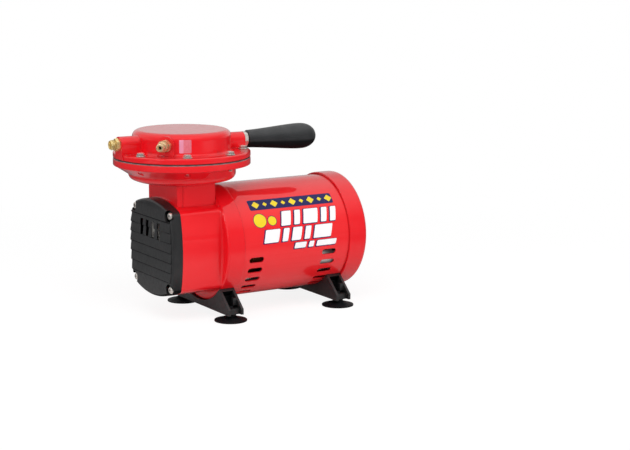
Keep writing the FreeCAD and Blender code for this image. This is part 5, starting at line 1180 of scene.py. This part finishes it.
floor_mesh = bpy.data.meshes.new("studio_floor")
floor_mesh.from_pydata([(-FLOOR_HALF, -FLOOR_HALF, 0), (FLOOR_HALF, -FLOOR_HALF, 0),
                        (FLOOR_HALF, FLOOR_HALF, 0), (-FLOOR_HALF, FLOOR_HALF, 0)],
                       [], [(0, 1, 2, 3)])
floor = new_object("studio_floor", floor_mesh)
floor_finish = bpy.data.materials.new("floor_paper")
floor_finish.use_nodes = True
tree = floor_finish.node_tree
tree.nodes.clear()
rays = add_node(tree, "ShaderNodeLightPath").outputs
distance = add_node(tree, "ShaderNodeVectorMath", {"operation": "LENGTH"})
tree.links.new(add_node(tree, "ShaderNodeTexCoord").outputs["Object"], distance.inputs[0])
away = distance.outputs["Value"]
beyond_sheet = add_range(tree, away, *SHEET_FADE)
lit_floor = mix_shaders(tree, beyond_sheet,
                        shader(tree, "ShaderNodeBsdfDiffuse", (0.80, 0.80, 0.80)),
                        shader(tree, "ShaderNodeBsdfDiffuse", (0.55, 0.55, 0.55)))
mirrored_floor = mix_shaders(tree, beyond_sheet,
                             shader(tree, "ShaderNodeBsdfDiffuse", (0.66, 0.66, 0.66)),
                             shader(tree, "ShaderNodeBsdfDiffuse", (0.19, 0.19, 0.20)))
unseen_floor = mix_shaders(tree, rays["Is Glossy Ray"], lit_floor, mirrored_floor)
near_camera = add_node(tree, "ShaderNodeAddShader")
half_lit = shader(tree, "ShaderNodeBsdfDiffuse", (0.20, 0.20, 0.20))
glow = shader(tree, "ShaderNodeEmission", Strength=0.86)
tree.links.new(half_lit.outputs[0], near_camera.inputs[0])
tree.links.new(glow.outputs[0], near_camera.inputs[1])
seen_floor = mix_shaders(tree, add_range(tree, away, *WHITE_FADE), near_camera,
                         shader(tree, "ShaderNodeEmission", Strength=1.0))
close_tree(tree, "ShaderNodeOutputMaterial",
           mix_shaders(tree, rays["Is Camera Ray"], unseen_floor, seen_floor))
floor_mesh.materials.append(floor_finish)
print("floor:", 2 * FLOOR_HALF, "m wide,", len(tree.nodes), "nodes")

# %% Sky
world = bpy.data.worlds.new("studio_sky")
world.use_nodes = True
bpy.context.scene.world = world
sky = world.node_tree
sky.nodes.clear()
rays = add_node(sky, "ShaderNodeLightPath").outputs
towards = add_node(sky, "ShaderNodeTexCoord").outputs["Generated"]
split = add_node(sky, "ShaderNodeSeparateXYZ", Vector=towards).outputs
overhead = add_range(sky, split["Z"], 0.35, 0.80)
behind = add_range(sky, split["Y"], -0.25, 0.45, 0.0, 0.55)
room = add_range(sky, add_math(sky, "MAXIMUM", overhead, behind), 0.0, 1.0, 0.22, 1.0)
plain = shader(sky, "ShaderNodeBackground", Strength=0.40)
mirrored = shader(sky, "ShaderNodeBackground", Strength=room)
backdrop = shader(sky, "ShaderNodeBackground", Strength=1.0)
shiny = add_math(sky, "MAXIMUM", rays["Is Glossy Ray"], rays["Is Transmission Ray"])
lit_sky = mix_shaders(sky, shiny, plain, mirrored)
close_tree(sky, "ShaderNodeOutputWorld", mix_shaders(sky, rays["Is Camera Ray"], lit_sky, backdrop))
print("sky nodes:", len(sky.nodes))


# %% Lamps
def soft_box(name, place, target, width, height, power):
    """A rectangular lamp that points at a target."""
    light = bpy.data.lights.new(name, "AREA")
    light.shape = "RECTANGLE"
    light.size = width
    light.size_y = height
    light.energy = power
    lamp = new_object(name, light)
    lamp.location = place
    lamp.rotation_euler = (Vector(target) - Vector(place)).to_track_quat("-Z", "Y").to_euler()
    return lamp


machine_middle = (0.0, 0.0, 0.12)
key = soft_box("key_box", (-0.5, -1.0, 1.5), machine_middle, 1.4, 1.0, 14.5)
fill = soft_box("fill_box", (1.0, -1.45, 0.34), machine_middle, 1.0, 0.7, 12.0)
front = soft_box("front_box", (-1.6, -0.4, 0.3), machine_middle, 0.5, 0.6, 5.5)
for lamp in (key, fill, front):
    lamp.visible_glossy = False
strip = soft_box("edge_strip", (-1.35, -0.6, 1.0), machine_middle, 0.08, 1.5, 3.0)
print("lamps, in watts:", [lamp.data.energy for lamp in (key, fill, front, strip)])

# %% Camera
CAMERA_PLACE = Vector((-0.8895, -1.5815, 0.4355))
CAMERA_AIM = Vector((0.1179, 0.0, 0.0904))
CAMERA_ROLL = math.radians(0.25)
camera_data = bpy.data.cameras.new("camera")
camera_data.lens = 86.29
camera_data.sensor_width = 36.0
camera = new_object("camera", camera_data)
turned_to_aim = (CAMERA_AIM - CAMERA_PLACE).to_track_quat("-Z", "Y").to_matrix().to_4x4()
camera.matrix_world = (Matrix.Translation(CAMERA_PLACE) @ turned_to_aim
                       @ Matrix.Rotation(CAMERA_ROLL, 4, "Z"))
bpy.context.scene.camera = camera
bpy.context.scene.view_settings.view_transform = "Standard"
camera_distance = (CAMERA_AIM - CAMERA_PLACE).length
print(f"camera: {camera_distance:.2f} m away, {camera_data.lens:.1f} mm lens")
